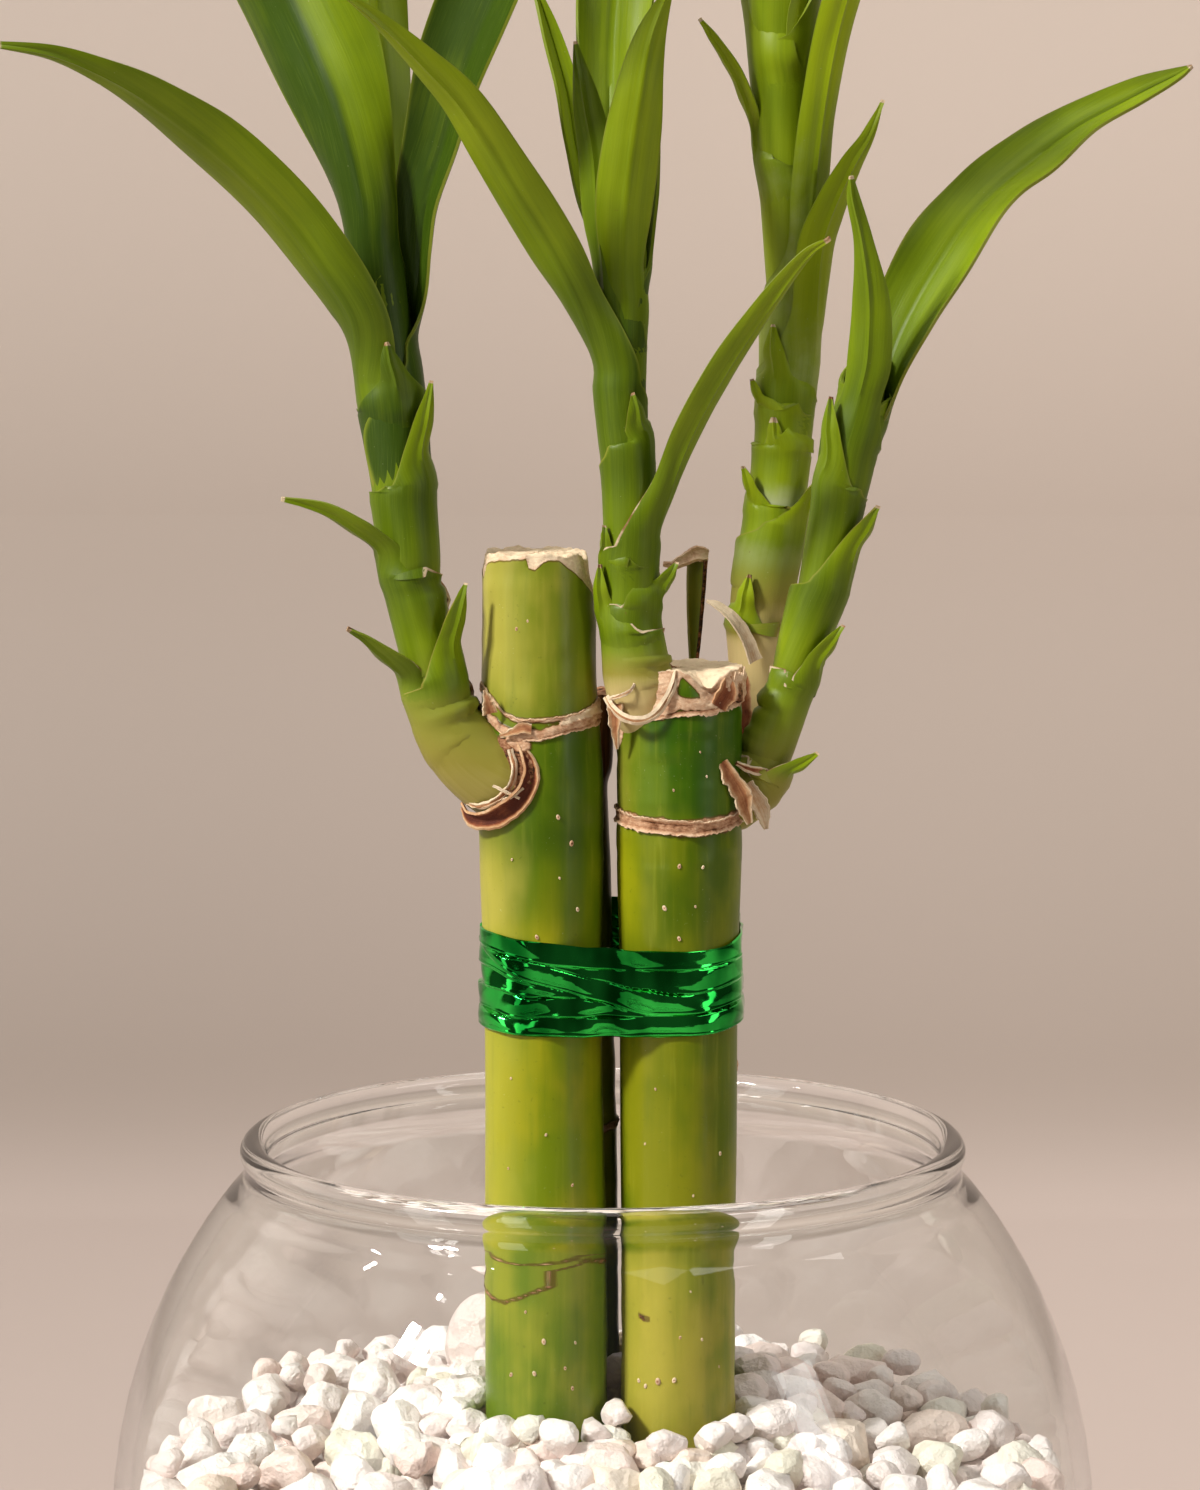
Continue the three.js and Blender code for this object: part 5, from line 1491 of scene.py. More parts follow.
# %% Left shoot
def left_leaves():
    grow = "left"
    return [
        leaf(grow, (165, 172.6, 174.6), (-0.95, -0.3), (0.6, 0.75, 0.5), [
            (-27.2, -14.8, 176.4, 6.0), (-29.4, -16.6, 178.9, 4.2), (-31.8, -18.4, 181.3, 2.3),
            (-34.4, -20, 183.3, 0.3)], tone=0.1, torn=0.1, dry_rim=0.9, pale=0.55, dry_tip=1.2),
        leaf(grow, (171, 173.2, 176), (0.75, -0.65), (-0.6, 0.75, 0.2), [
            (-20.6, -15.6, 180.6, 4.6), (-19.6, -16, 184.6, 3.2), (-18.7, -15.6, 189.1, 0.3)],
            tone=0.0, open_curl=1.1, rim=0.6),
        leaf(grow, (176.5, 187.0, 190.5), (-0.9, -0.42), (0.6, 0.7, 0.6), [
            (-30.2, -15.0, 193.4, 5.6), (-33.4, -16.6, 196.3, 4.4), (-37.4, -17.8, 198.9, 3.0),
            (-43.2, -19, 200.8, 0.3)], tone=0.15, torn=0.06, dry_rim=0.8, pale=0.15, dry_tip=0.9),
        leaf(grow, (189, 199, 202.4), (0.72, -0.7), (-0.6, 0.75, 0.1), [
            (-24.8, -15.3, 206.6, 4.6), (-23.9, -15.6, 211.4, 3.1), (-23.2, -15.2, 216.4, 0.3)],
            tone=-0.15, open_curl=1.2, rim=0.5),
        # The long leaf that leans out to the left, its outer side seen
        leaf(grow, (191, 208.6, 217.5), (-0.82, -0.5), (0.35, 0.85, 0.42), [
            (-33.4, -17.0, 224.6, 9.4), (-38.2, -19.4, 232.6, 10.2), (-44.4, -22.4, 240.6, 10.4),
            (-51.6, -26, 247.5, 9.8), (-59.6, -30.5, 253.6, 7.2), (-65.2, -34, 256.9, 4.4),
            (-71.4, -37, 259.3, 2.3), (-79, -40.5, 260.4, 0.4)], fold=0.34, tone=0.1, rim=0.4,
             dry_tip=3.5,
            crimp=0.2, open_curl=1.3, swell=0.65),
        # Scale with a dry tip, in front of the two broad leaves' sleeves; its dark green is a painted
        # cast shadow
        leaf(grow, (198, 209.6, 213.6), (0.2, -0.97), (-0.15, 0.97, 0.1), [
            (-28.0, -16.1, 216.6, 4.6), (-28.7, -16.6, 219.2, 2.6), (-29.1, -16.6, 221.6, 0.3)],
            tone=-0.6, open_curl=1.1, swell=0.9, rim=0.25, dry_tip=1.1),
        # Broad leaf up to the left: its outer side is seen, first as a tube, then as a blade, one half of
        # which is painted lighter as painted light
        leaf(grow, (212, 224, 235), (-0.4, -0.9), (0.25, 0.9, 0.25), [
            (-33.0, -13.4, 241.4, 11.4), (-36.2, -11.6, 254, 15.6), (-42.2, -7, 267.5, 20.0),
            (-50.5, -2, 282, 19.4), (-60.5, 5, 296, 14), (-69.5, 12, 306, 7.5), (-77, 18, 311, 0.4)],
            fold=0.4, tone=-0.7, wave=0.6, crimp=0.25, open_curl=1.7, half_tone=1.0, keel=0.5, swell=0.3),
        leaf(grow, (222, 230, 236), (0.1, 0.98), (0.5, -0.8, 0), [
            (-29.6, -4.6, 243, 6.2), (-29.6, 1.6, 255, 7.0), (-31.2, 9, 268.3, 8.2), (-35, 19, 288, 8.4),
            (-41, 28, 304, 5), (-47, 35, 315, 0.4)], fold=0.3, tone=0.6, wave=0.4, swell=-0.2),
        # Broad leaf up to the right, glossy inner side to the front
        leaf(grow, (199, 209.5, 222), (0.9, 0.42), (-0.62, -0.76, 0.2), [
            (-25.3, -10.0, 228, 7.2), (-24.8, -10.5, 234, 8.4), (-23.9, -11.5, 240.5, 9.6),
            (-21.4, -13.6, 248.5, 12.0), (-18.0, -17.2, 259, 15.0), (-13, -21, 270, 16.2),
            (-5.5, -25, 284, 14.9), (3, -29, 296, 9), (10.5, -32, 304, 0.4)], fold=0.46, tone=-1.0,
             crimp=0.2, open_curl=1.2, rim=0.4, swell=0.5),
    ]


# %% Middle shoot
def middle_leaves():
    grow = "middle"
    return [
        leaf(grow, (173, 180.2, 183), (-0.85, -0.5), (0.6, 0.8, 0.2), [
            (-0.2, -15.4, 186.0, 3.6), (-0.5, -15.8, 188.8, 2.2), (-0.4, -15.8, 191.6, 0.3)],
            tone=0.15, torn=0.12, dry_rim=1.0, pale=0.75, open_curl=1.2, dry_tip=1.0),
        leaf(grow, (174, 183.4, 187), (0.92, -0.38), (-0.6, 0.75, 0.3), [
            (8.3, -14.8, 188.6, 3.8), (9.2, -15.2, 190.2, 2.2), (9.9, -15, 191.9, 0.3)],
            tone=0.0, dry_rim=0.7, pale=0.5, open_curl=1.3),
        leaf(grow, (183, 189.0, 192.6), (-0.95, -0.2), (0.7, 0.7, 0.1), [
            (0.2, -15.2, 194.2, 2.6), (0.2, -15.6, 195.6, 1.4), (0.3, -15.4, 196.8, 0.3)],
            tone=0.1, open_curl=1.2, dry_rim=0.5),
        # Narrow leaf that leans out to the right in front of the shoots behind
        leaf(grow, (182, 191, 196), (0.9, -0.4), (-0.45, 0.65, 0.6), [
            (9.0, -16.4, 202, 5.4), (11.9, -19, 209.7, 5.6), (16.6, -23, 218.6, 5.4),
            (21.8, -27, 226.6, 4.2), (26.5, -30, 233.1, 2.2), (29.6, -32, 235.6, 0.3)], fold=0.35,
             tone=0.2, torn=0.05, dry_rim=0.8,
            dry_tip=1.6),
        leaf(grow, (189, 202.5, 208.5), (0.72, -0.68), (-0.6, 0.78, 0.05), [
            (4.9, -16.2, 210.4, 4.4), (4.5, -16.6, 212.6, 2.6), (3.9, -16.6, 214.8, 0.3)],
            tone=0.0, open_curl=1.35, rim=0.6),
        # Long leaf up to the left, its outer side seen
        leaf(grow, (195, 209.4, 219), (-0.75, -0.62), (0.3, 0.85, 0.4), [
            (-3.4, -18.6, 227, 7.4), (-7.0, -21.6, 234.0, 8.2), (-11.6, -25.4, 241.6, 8.0),
            (-18, -31, 252, 6.6), (-23.1, -34, 257.8, 4.6), (-28.7, -37, 263.2, 2.3),
            (-33.4, -39.4, 266.8, 0.4)],
            fold=0.34, tone=0.05, rim=0.45, dry_tip=1.5),
        leaf(grow, (212, 222, 228), (-0.4, 0.9), (0.5, -0.85, 0), [
            (0.2, -9.6, 233, 4.2), (-2.2, -8.2, 240.8, 3.8), (-3.8, -6.4, 248.4, 3.8),
            (-5, -5, 255.4, 3.8), (-7.4, -3.6, 264, 2.8), (-9.8, -2.4, 271, 0.3)], fold=0.3, tone=0.3),
        leaf(grow, (206, 217, 224), (-0.5, -0.85), (0.4, 0.9, 0.1), [
            (0.2, -16.2, 231, 5.0), (-0.6, -16.2, 238.6, 5.4), (-1.1, -16.2, 246, 5.6),
            (-2.4, -16.2, 254, 4.0), (-3.7, -16, 261.6, 0.3)], fold=0.3, tone=-0.3, rim=0.4),
        # Bright leaf in front: its outer side is seen, first as a tube, then as a blade
        leaf(grow, (209, 219, 227), (0.12, -0.98), (-0.12, 0.97, 0.1), [
            (2.7, -17.0, 231.4, 7.0), (2.9, -18.2, 238.6, 8.0), (3.6, -19.2, 245.2, 8.4),
            (4.6, -20.2, 252.3, 7.5), (6.3, -21.2, 261.7, 4.4), (9.3, -22, 269.6, 0.3)], fold=0.36,
             tone=0.35, open_curl=1.5, rim=0.5,
            keel=0.25),
        leaf(grow, (220, 228, 234), (0.05, 0.98), (0.1, -1, -0.1), [
            (1.6, -7.8, 241, 6.2), (0.9, -3.4, 252, 8.4), (1.2, 2, 264, 11), (2.4, 5, 280, 12.4),
            (3.4, 7, 296, 9), (4.4, 8.4, 309, 4), (5, 9, 315, 0.4)], fold=0.38, tone=0.05, wave=0.5),
        leaf(grow, (214, 222, 228), (0.75, 0.6), (-0.7, -0.7, 0), [
            (6.0, -9.4, 233, 4.4), (6.8, -7.4, 243, 3.4), (7.6, -5.4, 254, 0.3)], fold=0.3, tone=-0.45),
    ]


# %% Back shoot
def back_leaves():
    grow = "back"
    return [
        # The pale wax on the lower leaves is also painted light, against the shade of the shoots in front
        leaf(grow, (170, 178.6, 181), (-0.7, -0.7), (0.6, 0.75, 0.2), [
            (19.6, 7.2, 183.6, 4.4), (20.0, 6.6, 186, 2.8), (20.6, 6.6, 188.5, 0.3)],
            tone=0.0, bloom=0.8, open_curl=1.35, dry_rim=0.5, dry_tip=1.0),
        leaf(grow, (179, 194.6, 198), (-0.85, -0.5), (0.7, 0.7, 0.1), [
            (20.6, 9.2, 200, 3.4), (20.2, 9, 201.8, 2.0), (19.8, 9.2, 203.6, 0.3)],
            tone=0.1, bloom=0.9, open_curl=1.3, rim=0.6, dry_tip=0.8),
        leaf(grow, (183, 190.6, 195.6), (0.85, -0.5), (-0.7, 0.7, 0.2), [
            (28.8, 9.0, 198, 4.0), (29.8, 8.4, 200.2, 2.4), (30.8, 7.8, 202.4, 0.3)],
            tone=0.0, bloom=0.7, open_curl=1.3, rim=0.5),
        leaf(grow, (193, 203.6, 206.4), (-0.2, -0.97), (0.15, 0.95, 0.1), [
            (24.2, 9.0, 207.6, 3.2), (24.0, 9, 209, 1.8), (24.0, 9.2, 210.4, 0.5)],
            tone=0.05, bloom=0.7, open_curl=1.3, rim=0.5, dry_tip=1.4),
        leaf(grow, (199, 208, 212), (-0.8, -0.55), (0.6, 0.75, 0.1), [
            (21.9, 10.6, 213, 2.6), (21.4, 10.4, 214.4, 1.5), (21, 10.4, 215.8, 0.3)],
            tone=0.1, bloom=0.5, open_curl=1.3),
        leaf(grow, (200, 209.6, 214.6), (-0.45, -0.88), (0.4, 0.9, 0.1), [
            (24.2, 9.8, 217, 4.6), (23.8, 9.6, 220, 3.0), (23.9, 9.8, 223.4, 0.3)],
            tone=-0.25, bloom=0.2, open_curl=1.35, rim=0.5),
        # Leaves that lean right and left over the upper photo's middle
        leaf(grow, (208, 222, 229), (0.55, -0.82), (-0.5, 0.8, 0.25), [
            (28.9, 9.6, 234, 6.4), (29.4, 8.8, 243, 6.6), (30.6, 8.4, 254, 6.4), (33.2, 8, 267, 6.8),
            (39, 7.6, 284, 7), (46, 7, 298, 4.4), (52, 6.4, 307, 0.4)], fold=0.34, tone=0.15, bloom=0.3),
        leaf(grow, (205, 214, 220), (0.72, -0.68), (-0.5, 0.8, 0.3), [
            (29.6, 9.0, 225, 6.8), (30.6, 7.6, 235.6, 6.6), (34.3, 6.4, 244.8, 4.2),
            (36.8, 6, 249.4, 2.2), (38.8, 6, 254.5, 0.3)], fold=0.34, tone=0.1, bloom=0.3),
        leaf(grow, (238, 243, 247), (-0.98, -0.2), (0.75, 0.65, 0.1), [
            (21.4, 12.6, 250.2, 2.6), (20.2, 11.4, 254, 3.0), (18.2, 10.4, 258.6, 2.8),
            (15.6, 9.2, 262.6, 2.0), (13.5, 8.6, 265.8, 0.3)], fold=0.3, tone=0.05, bloom=0.2,
             open_curl=0.9),
        leaf(grow, (228, 252, 262), (-0.85, -0.4), (0.4, 0.8, 0.6), [
            (20.6, 13.2, 274, 9.0), (18.6, 15, 289, 12), (13.6, 17, 306, 15), (3, 20, 322, 13.5),
            (-9, 23, 331, 7), (-18, 25, 334, 0.4)], fold=0.34, tone=0.1, wave=0.6),
        leaf(grow, (236, 258, 266), (0.85, 0.3), (-0.3, -0.6, 0.75), [
            (30.0, 15.2, 276, 8.4), (33.0, 17, 292, 11), (39, 19.5, 309, 14.5), (51, 23, 325, 11.5),
            (62, 26, 332, 5), (69, 28, 333, 0.4)], fold=0.34, tone=0.0, wave=0.6),
        leaf(grow, (244, 264, 272), (0.1, -0.98), (0, 0.75, 0.65), [
            (26, 9.4, 282, 8.0), (26, 7.5, 299, 10.6), (27, 3.4, 318, 14), (29, -5, 335, 11),
            (31, -14, 344, 4.6), (32, -20, 346, 0.4)], fold=0.34, tone=-0.1, wave=0.6),
        leaf(grow, (248, 268, 276), (-0.1, 0.98), (0, -0.75, 0.65), [
            (25.4, 18.0, 284, 7.6), (24.6, 20.6, 300, 10.4), (23, 27, 321, 13), (21, 37, 337, 9),
            (19, 46, 344, 3.6), (18, 51, 345, 0.4)], fold=0.34, tone=0.1, wave=0.6),
        leaf(grow, (264, 282, 288), (0.2, -0.9), (-0.1, 0.95, 0.1), [
            (26.4, 12, 298, 4.6), (26.8, 12.6, 312, 4.8), (27.6, 13.0, 331, 3.2),
            (28.4, 12.4, 347.6, 0.4)],
            fold=0.6, tone=0.4),
    ]


# %% Right shoot
def right_leaves():
    grow = "right"
    return [
        leaf(grow, (157, 160.6, 162), (0.8, -0.6), (-0.6, 0.75, 0.3), [
            (25.4, -10.6, 162.6, 3.6), (27.4, -10.6, 163.8, 2.2), (29.5, -10, 165.2, 0.3)],
            tone=0.2, pale=0.9, open_curl=1.2, torn=0.1, dry_rim=0.8),
        leaf(grow, (163.5, 172.8, 175), (0.85, -0.5), (-0.6, 0.75, 0.3), [
            (29.6, -9.6, 177.6, 4.2), (31.2, -9.8, 180.2, 2.6), (32.8, -9.6, 182.9, 0.3)],
            tone=0.2, pale=0.55, open_curl=1.3, torn=0.1, dry_rim=1.0),
        leaf(grow, (174, 184.4, 189.2), (0.78, -0.62), (-0.6, 0.75, 0.3), [
            (34.4, -9.0, 193.2, 4.8), (36.2, -9.2, 196.2, 3.0), (37.6, -8.6, 199.1, 0.3)],
            tone=0.15, open_curl=1.3, rim=0.6, dry_rim=0.3),
        leaf(grow, (187, 197.6, 202), (-0.75, -0.65), (0.6, 0.8, 0.1), [
            (30.9, -9.2, 205.6, 4.6), (30.8, -9.4, 210, 2.8), (31.1, -9, 214, 0.3)],
            tone=-0.05, open_curl=1.3, rim=0.5),
        leaf(grow, (194, 204.6, 209), (-0.2, -0.95), (0.25, 0.95, 0.1), [
            (34.9, -9.4, 213.6, 6.2), (36.0, -10.2, 219, 6.4), (36.2, -11.4, 226.6, 5.4),
            (35.1, -13, 235, 2.8), (33.7, -14.5, 240.6, 1.8), (33.3, -15, 243.8, 0.4)], fold=0.34,
             tone=-0.15, open_curl=1.25),
        # The long leaf that leans out to the right, its trough towards the front
        leaf(grow, (200, 208, 212.5), (0.72, 0.6), (-0.35, -0.8, 0.5), [
            (39.0, -4.2, 217.0, 8.6), (41.7, -3.4, 224.2, 11), (47.7, -1, 234.5, 11.8),
            (53.5, 3, 241.4, 11.0), (59.4, 7, 246, 9.6), (66.7, 11, 251.2, 7.6), (74.8, 15, 255.4, 5.2),
            (80.8, 18, 258.2, 2.4), (83.3, 19.4, 259.6, 0.4)], fold=0.34, tone=-0.12, wave=0.5,
             dry_tip=1.5, rim=0.5),
        leaf(grow, (208, 213, 216), (-0.5, 0.85), (0.4, -0.85, 0.1), [
            (36.4, -3.0, 220, 4.4), (36.6, -2.4, 226, 3.4), (36.4, -2.2, 233, 0.3)], fold=0.35,
             tone=0.35),
    ]


# %% [markdown]
# A leaf is satin above, lets a little light through, and has parallel veins that follow it from base to
# tip. The points carry how pale, dry or wax-coated each place is, how dark this leaf is, and where it
# lies across and along the leaf, so the veins can be fine stripes of that number. Some of the pale wax
# and of the lightness is painted light. A small constant share of translucent shader gives the glow of a
# thin leaf.

# %% Living leaf
def make_leaf_finish():
    skin = Finish("green_leaf")
    place = skin.place()
    vein = skin.mark("vein")
    reach = skin.mark("reach")
    along_leaf = skin.node("CombineXYZ", None, [vein, reach * 0.035, 0.0])
    stripes = skin.noise(along_leaf, 9.0, 4, 0.7)
    hairlines = skin.noise(along_leaf, 34.0, 3, 0.7)
    bands = skin.noise(along_leaf, 2.6, 3, 0.5)
    patches = skin.noise(place, 38, 3, 0.5)
    mix = skin.mark("tone") * 0.5 + (patches + (bands - 0.5) * 0.4 + (stripes - 0.5) * 0.25)
    stops = [(0.0, tone(58, 82, 10)), (0.5, tone(120, 142, 12)), (1.0, tone(166, 184, 22))]
    color = skin.node("ValToRGB", {"stops": stops}, [mix])
    color = skin.blend(hairlines.between(0.5, 0.72) * 0.14, color, tone(150, 176, 60))
    color = skin.blend(hairlines.between(0.48, 0.3) * 0.1, color, tone(36, 62, 6))
    cloud = skin.noise(place, 420, 4, 0.6)
    dust = skin.noise(place, 2600, 2)
    # Pale wax, on the back shoot's lower leaves also painted light
    wax_and_painted_light = (skin.mark("bloom") * 1.25 + (cloud - 0.5) * 0.35 + (bands - 0.5) * 0.3).between(0.15, 1.0)
    color = skin.blend(wax_and_painted_light, color, tone(188, 194, 150))
    # The base of a sleeve runs from green through yellow-green to ivory
    pale = skin.mark("pale") + (stripes - 0.5) * 0.1 + (patches - 0.5) * 0.06
    stops = [(0.0, tone(112, 136, 26)), (0.35, tone(134, 148, 42)), (0.7, tone(158, 148, 62)),
             (1.0, tone(222, 200, 138))]
    base = skin.node("ValToRGB", {"stops": stops}, [pale])
    color = skin.blend(pale.between(0.04, 0.5), color, base)
    straw = skin.blend(cloud.between(0.35, 0.6), tone(150, 104, 62), tone(226, 204, 168))
    dry = (skin.mark("dry") + (cloud - 0.5) * 0.4).between(0.4, 0.6)
    color = skin.blend(dry, color, straw)
    color = skin.blend(dust.between(0.76, 0.8) * 0.5, color, tone(212, 214, 160))
    flecks = skin.noise(place, 900, 2).between(0.76, 0.8)
    color = skin.blend(flecks * 0.4, color, tone(122, 88, 40))
    rough = wax_and_painted_light * 0.2 + dry * 0.3 + (cloud - 0.5) * 0.14 + 0.39
    normal = skin.bump(stripes * 0.5 + hairlines * 0.35, 0.3, 0.0002)
    body = skin.node("BsdfPrincipled", None, {
        "Base Color": color, "Roughness": rough, "Normal": normal, "IOR": 1.42,
        "Specular IOR Level": 0.3})
    glow = skin.node("BsdfTranslucent", None, {"Color": color, "Normal": normal})
    return skin.close(skin.node("MixShader", None, [0.2, body, glow]))


green_leaf = make_leaf_finish()


# %% Build the four shoots
def make_shoot(shoot, leaves, narrows):
    pieces = [make_core(shoot, narrows)]
    pieces += [make_leaf(made, 200 + 17 * place) for place, made in enumerate(leaves)]
    return smooth(join(pieces), 60)


for shoot, leaves, narrows in (("left", left_leaves(), 0.16), ("middle", middle_leaves(), 0.2),
                               ("back", back_leaves(), 0.08), ("right", right_leaves(), 0.12)):
    piece = make_shoot(shoot, leaves, narrows)
    dress(piece, "leafy_shoot_" + shoot, green_leaf, ["shoot_" + shoot])

# %% [markdown]
# ## Papery collars
# Where a shoot broke out of its cane, the old leaf base was pushed open, dried and curled back. What
# is left is a brown trough with tan lips round the shoot's root, and a few torn flaps. A trough is a
# strip with its own facing at every row, curled across, so its lips stand up and its middle lies in
# their shadow.

# %% A lipped strip: rows of x, y, z, width and the way it faces
def trough(rows, curl, seed, rag=0.16, thick=0.34, old=0.6, lift=0.0):
    def marks(u, v):
        lip = soft_step(np.abs(u), 0.45, 0.95)
        patchy = 0.25 * unevenness(seed + 5, u * 0.3 + 0.4, v, 5, 9)
        return {"fibre": u * 0.5 + 0.2 * v, "edge": np.clip(lip + lift, 0, 1), "old": old + patchy}

    return strip(rows, (0, -1, 0), curl, thick, rag, seed, across=14, marks=marks, rag=14)


# %% A flat flap: rows of x, y, z and width, and the way the whole of it faces
FLAP_THICK = 0.24


def flap(rows, face, curl, seed, torn=0.25, old=0.4):
    def marks(u, v):
        edge = np.clip(0.25 + 0.6 * np.abs(u) ** 3 + 0.25 * v, 0, 1)
        return {"fibre": u * 0.7, "edge": edge, "old": old}

    return strip(rows, face, curl, FLAP_THICK, torn, seed, across=12, marks=marks, rag=9)


# %% The four collars, in millimetres
def collar_pieces():
    left = [
        # Trough that hangs under the root like a crescent, from its right side round to the left
        trough([(-11.9, -16.6, 168.0, 0.7, -0.1, -0.95, 0.2),
                (-11.0, -17.1, 166.8, 1.1, 0.2, -0.95, 0.1), (-10.1, -17.4, 164.6, 2.3, 0.3, -0.92, 0.0),
                (-10.2, -17.5, 162.2, 3.1, 0.3, -0.92, -0.1),
                (-11.6, -17.4, 159.7, 3.6, 0.15, -0.94, -0.2),
                (-13.8, -16.6, 157.8, 3.9, -0.1, -0.95, -0.25),
                (-16.2, -14.9, 156.7, 3.2, -0.5, -0.8, -0.25),
                (-18.2, -12.6, 156.8, 2.2, -0.85, -0.5, -0.15),
                (-19.2, -10.2, 158.0, 1.3, -0.95, -0.2, 0.0)], 1.25, 301, 0.14, old=0.75),
        # Lip between the trough and the pale root
        trough([(-12.6, -17.2, 166.6, 0.6, 0.1, -0.95, 0), (-12.0, -17.6, 163.8, 0.8, 0.2, -0.95, 0),
                (-12.8, -17.7, 161.4, 0.9, 0.1, -0.95, -0.1),
                (-14.6, -17.2, 159.6, 0.9, -0.1, -0.95, -0.2),
                (-16.8, -15.6, 158.6, 0.8, -0.5, -0.8, -0.2),
                (-18.6, -13.0, 158.8, 0.5, -0.85, -0.5, -0.1)], 0.9, 303, 0.3, old=0.2, lift=0.35),
        # Fibres torn loose across the trough
        trough([(-14.9, -17.5, 161.6, 0.35, 0, -1, 0), (-13.2, -18.3, 160.9, 0.4, 0, -1, 0.2),
                (-11.3, -18.2, 160.0, 0.3, 0.2, -1, 0)], 0.6, 305, 0.2, 0.2, 0.0, 0.8),
        trough([(-13.9, -17.4, 159.6, 0.3, 0, -1, 0), (-12.4, -18.2, 160.2, 0.4, 0, -1, 0.2),
                (-10.8, -18.0, 161.4, 0.3, 0.2, -1, 0)], 0.6, 306, 0.2, 0.2, 0.0, 0.8),
        # Dry triangle on the cane above the root
        flap([(-15.3, -16.3, 171.4, 2.2), (-15.6, -16.5, 172.8, 1.5), (-16.1, -16.5, 174.6, 0.3)],
             (0.2, -0.9, 0), 0.4, 313, old=0.3),
        flap([(-9.7, -17.5, 169.4, 1.6), (-11.0, -17.6, 169.5, 1.5), (-12.6, -17.3, 168.8, 0.9),
              (-14.0, -17.0, 168.4, 0.3)], (0, -0.95, 0.3), 0.4, 312, old=0.35),
    ]
    middle = [
        # Rolled rim round the front of the root, like the rim of a bowl
        trough([(0.5, -14.6, 173.4, 0.7, -0.5, -0.8, 0), (1.3, -16.6, 172.2, 0.8, -0.3, -0.9, 0),
                (2.6, -18.0, 171.2, 0.9, -0.1, -0.95, -0.1), (4.2, -18.6, 170.7, 1.0, 0, -0.95, -0.2),
                (5.9, -18.7, 170.9, 1.0, 0.1, -0.95, -0.2), (7.4, -18.4, 171.9, 1.0, 0.2, -0.95, -0.1),
                (8.6, -18.0, 173.6, 0.9, 0.3, -0.92, 0), (9.5, -17.6, 175.6, 0.8, 0.4, -0.9, 0),
                (9.8, -17.0, 177.2, 0.5, 0.4, -0.9, 0)], 1.1, 321, 0.22, 0.5, 0.15, 0.35),
        trough([(0.9, -16.6, 173.4, 0.4, -0.2, -0.95, 0), (2.4, -17.9, 174.0, 0.5, 0, -0.95, 0),
                (3.7, -18.0, 174.7, 0.5, 0.1, -0.95, 0), (4.3, -17.7, 175.6, 0.3, 0.1, -0.95, 0)], 0.8,
               323, 0.3, 0.25, 0.1, 0.5),
        # Wedge of dry skin on its left, ending in a point
        flap([(1.6, -16.0, 172.6, 2.6), (1.7, -16.2, 170.9, 2.2), (1.7, -15.8, 168.8, 1.2),
              (1.9, -15.0, 166.4, 0.3)], (-0.25, -0.95, 0), 0.7, 322, 0.2, old=0.3),
        flap([(15.6, -16.0, 172.2, 3.2), (16.7, -15.3, 174.4, 2.8), (17.1, -14.6, 176.4, 1.0)],
             (0.5, -0.85, 0), 0.5, 325, old=0.7),
    ]
    back = [
        trough([(14.0, 3.6, 160.6, 0.9, -0.3, -0.9, 0), (16.0, 3.2, 159.6, 1.6, 0, -0.95, -0.1),
                (18.4, 4.2, 160.4, 1.9, 0.5, -0.85, -0.1), (20.4, 6.4, 162.6, 1.6, 0.85, -0.5, -0.1),
                (21.4, 9.0, 165.0, 1.0, 0.95, -0.1, 0)], 1.1, 331, 0.2, old=0.55),
        flap([(18.2, 4.8, 164.6, 3.2), (19.2, 4.4, 168.4, 3.0), (19.9, 4.6, 172.4, 1.6),
              (20.2, 4.9, 174.4, 0.3)], (0, -0.95, 0), 0.5, 332, old=0.75),
        # Strap of an old scale that curls away to the left
        flap([(21.4, 5.9, 176.4, 2.2), (20.2, 5.4, 179.6, 2.0), (18.4, 5.0, 182.4, 1.8),
              (16.2, 5.4, 184.2, 1.3), (14.6, 6.0, 184.9, 0.4)], (0.2, -0.8, 0.5), 0.5, 333, 0.1,
             old=-0.5),
    ]
    right = [
        # Flap that hangs from the ring, with a thin pale piece beside it
        flap([(16.2, -15.2, 164.6, 1.4), (17.2, -14.9, 162.8, 2.6), (18.4, -14.2, 160.6, 2.9),
              (19.4, -13.6, 158.2, 2.4), (20.0, -13.2, 155.9, 0.9)], (0.25, -0.95, 0.05), 0.8, 342, 0.28,
             old=0.35),
        flap([(19.6, -12.6, 161.2, 2.0), (21.0, -12.0, 159.0, 2.9), (22.0, -11.6, 156.8, 2.4),
              (22.4, -11.4, 154.9, 0.5)], (0.35, -0.9, 0.05), 0.7, 343, 0.25, old=-0.15),
        trough([(18.2, -13.4, 164.2, 0.6, 0.3, -0.95, 0), (20.2, -12.4, 163.2, 1.1, 0.5, -0.85, 0.1),
                (22.4, -10.6, 162.6, 1.3, 0.7, -0.7, 0.1), (23.6, -8.0, 162.2, 1.0, 0.9, -0.3, 0.1),
                (23.6, -5.4, 161.6, 0.6, 0.9, 0.2, 0)], 1.0, 344, 0.25, 0.3, 0.25, 0.2),
    ]
    return {"left": left, "middle": middle, "back": back, "right": right}


# %% [markdown]
# The collars are dry fibre, tan at the torn lips and dark red-brown in the folds. The stripes follow
# the fibre number on the points, and the roughness is high.

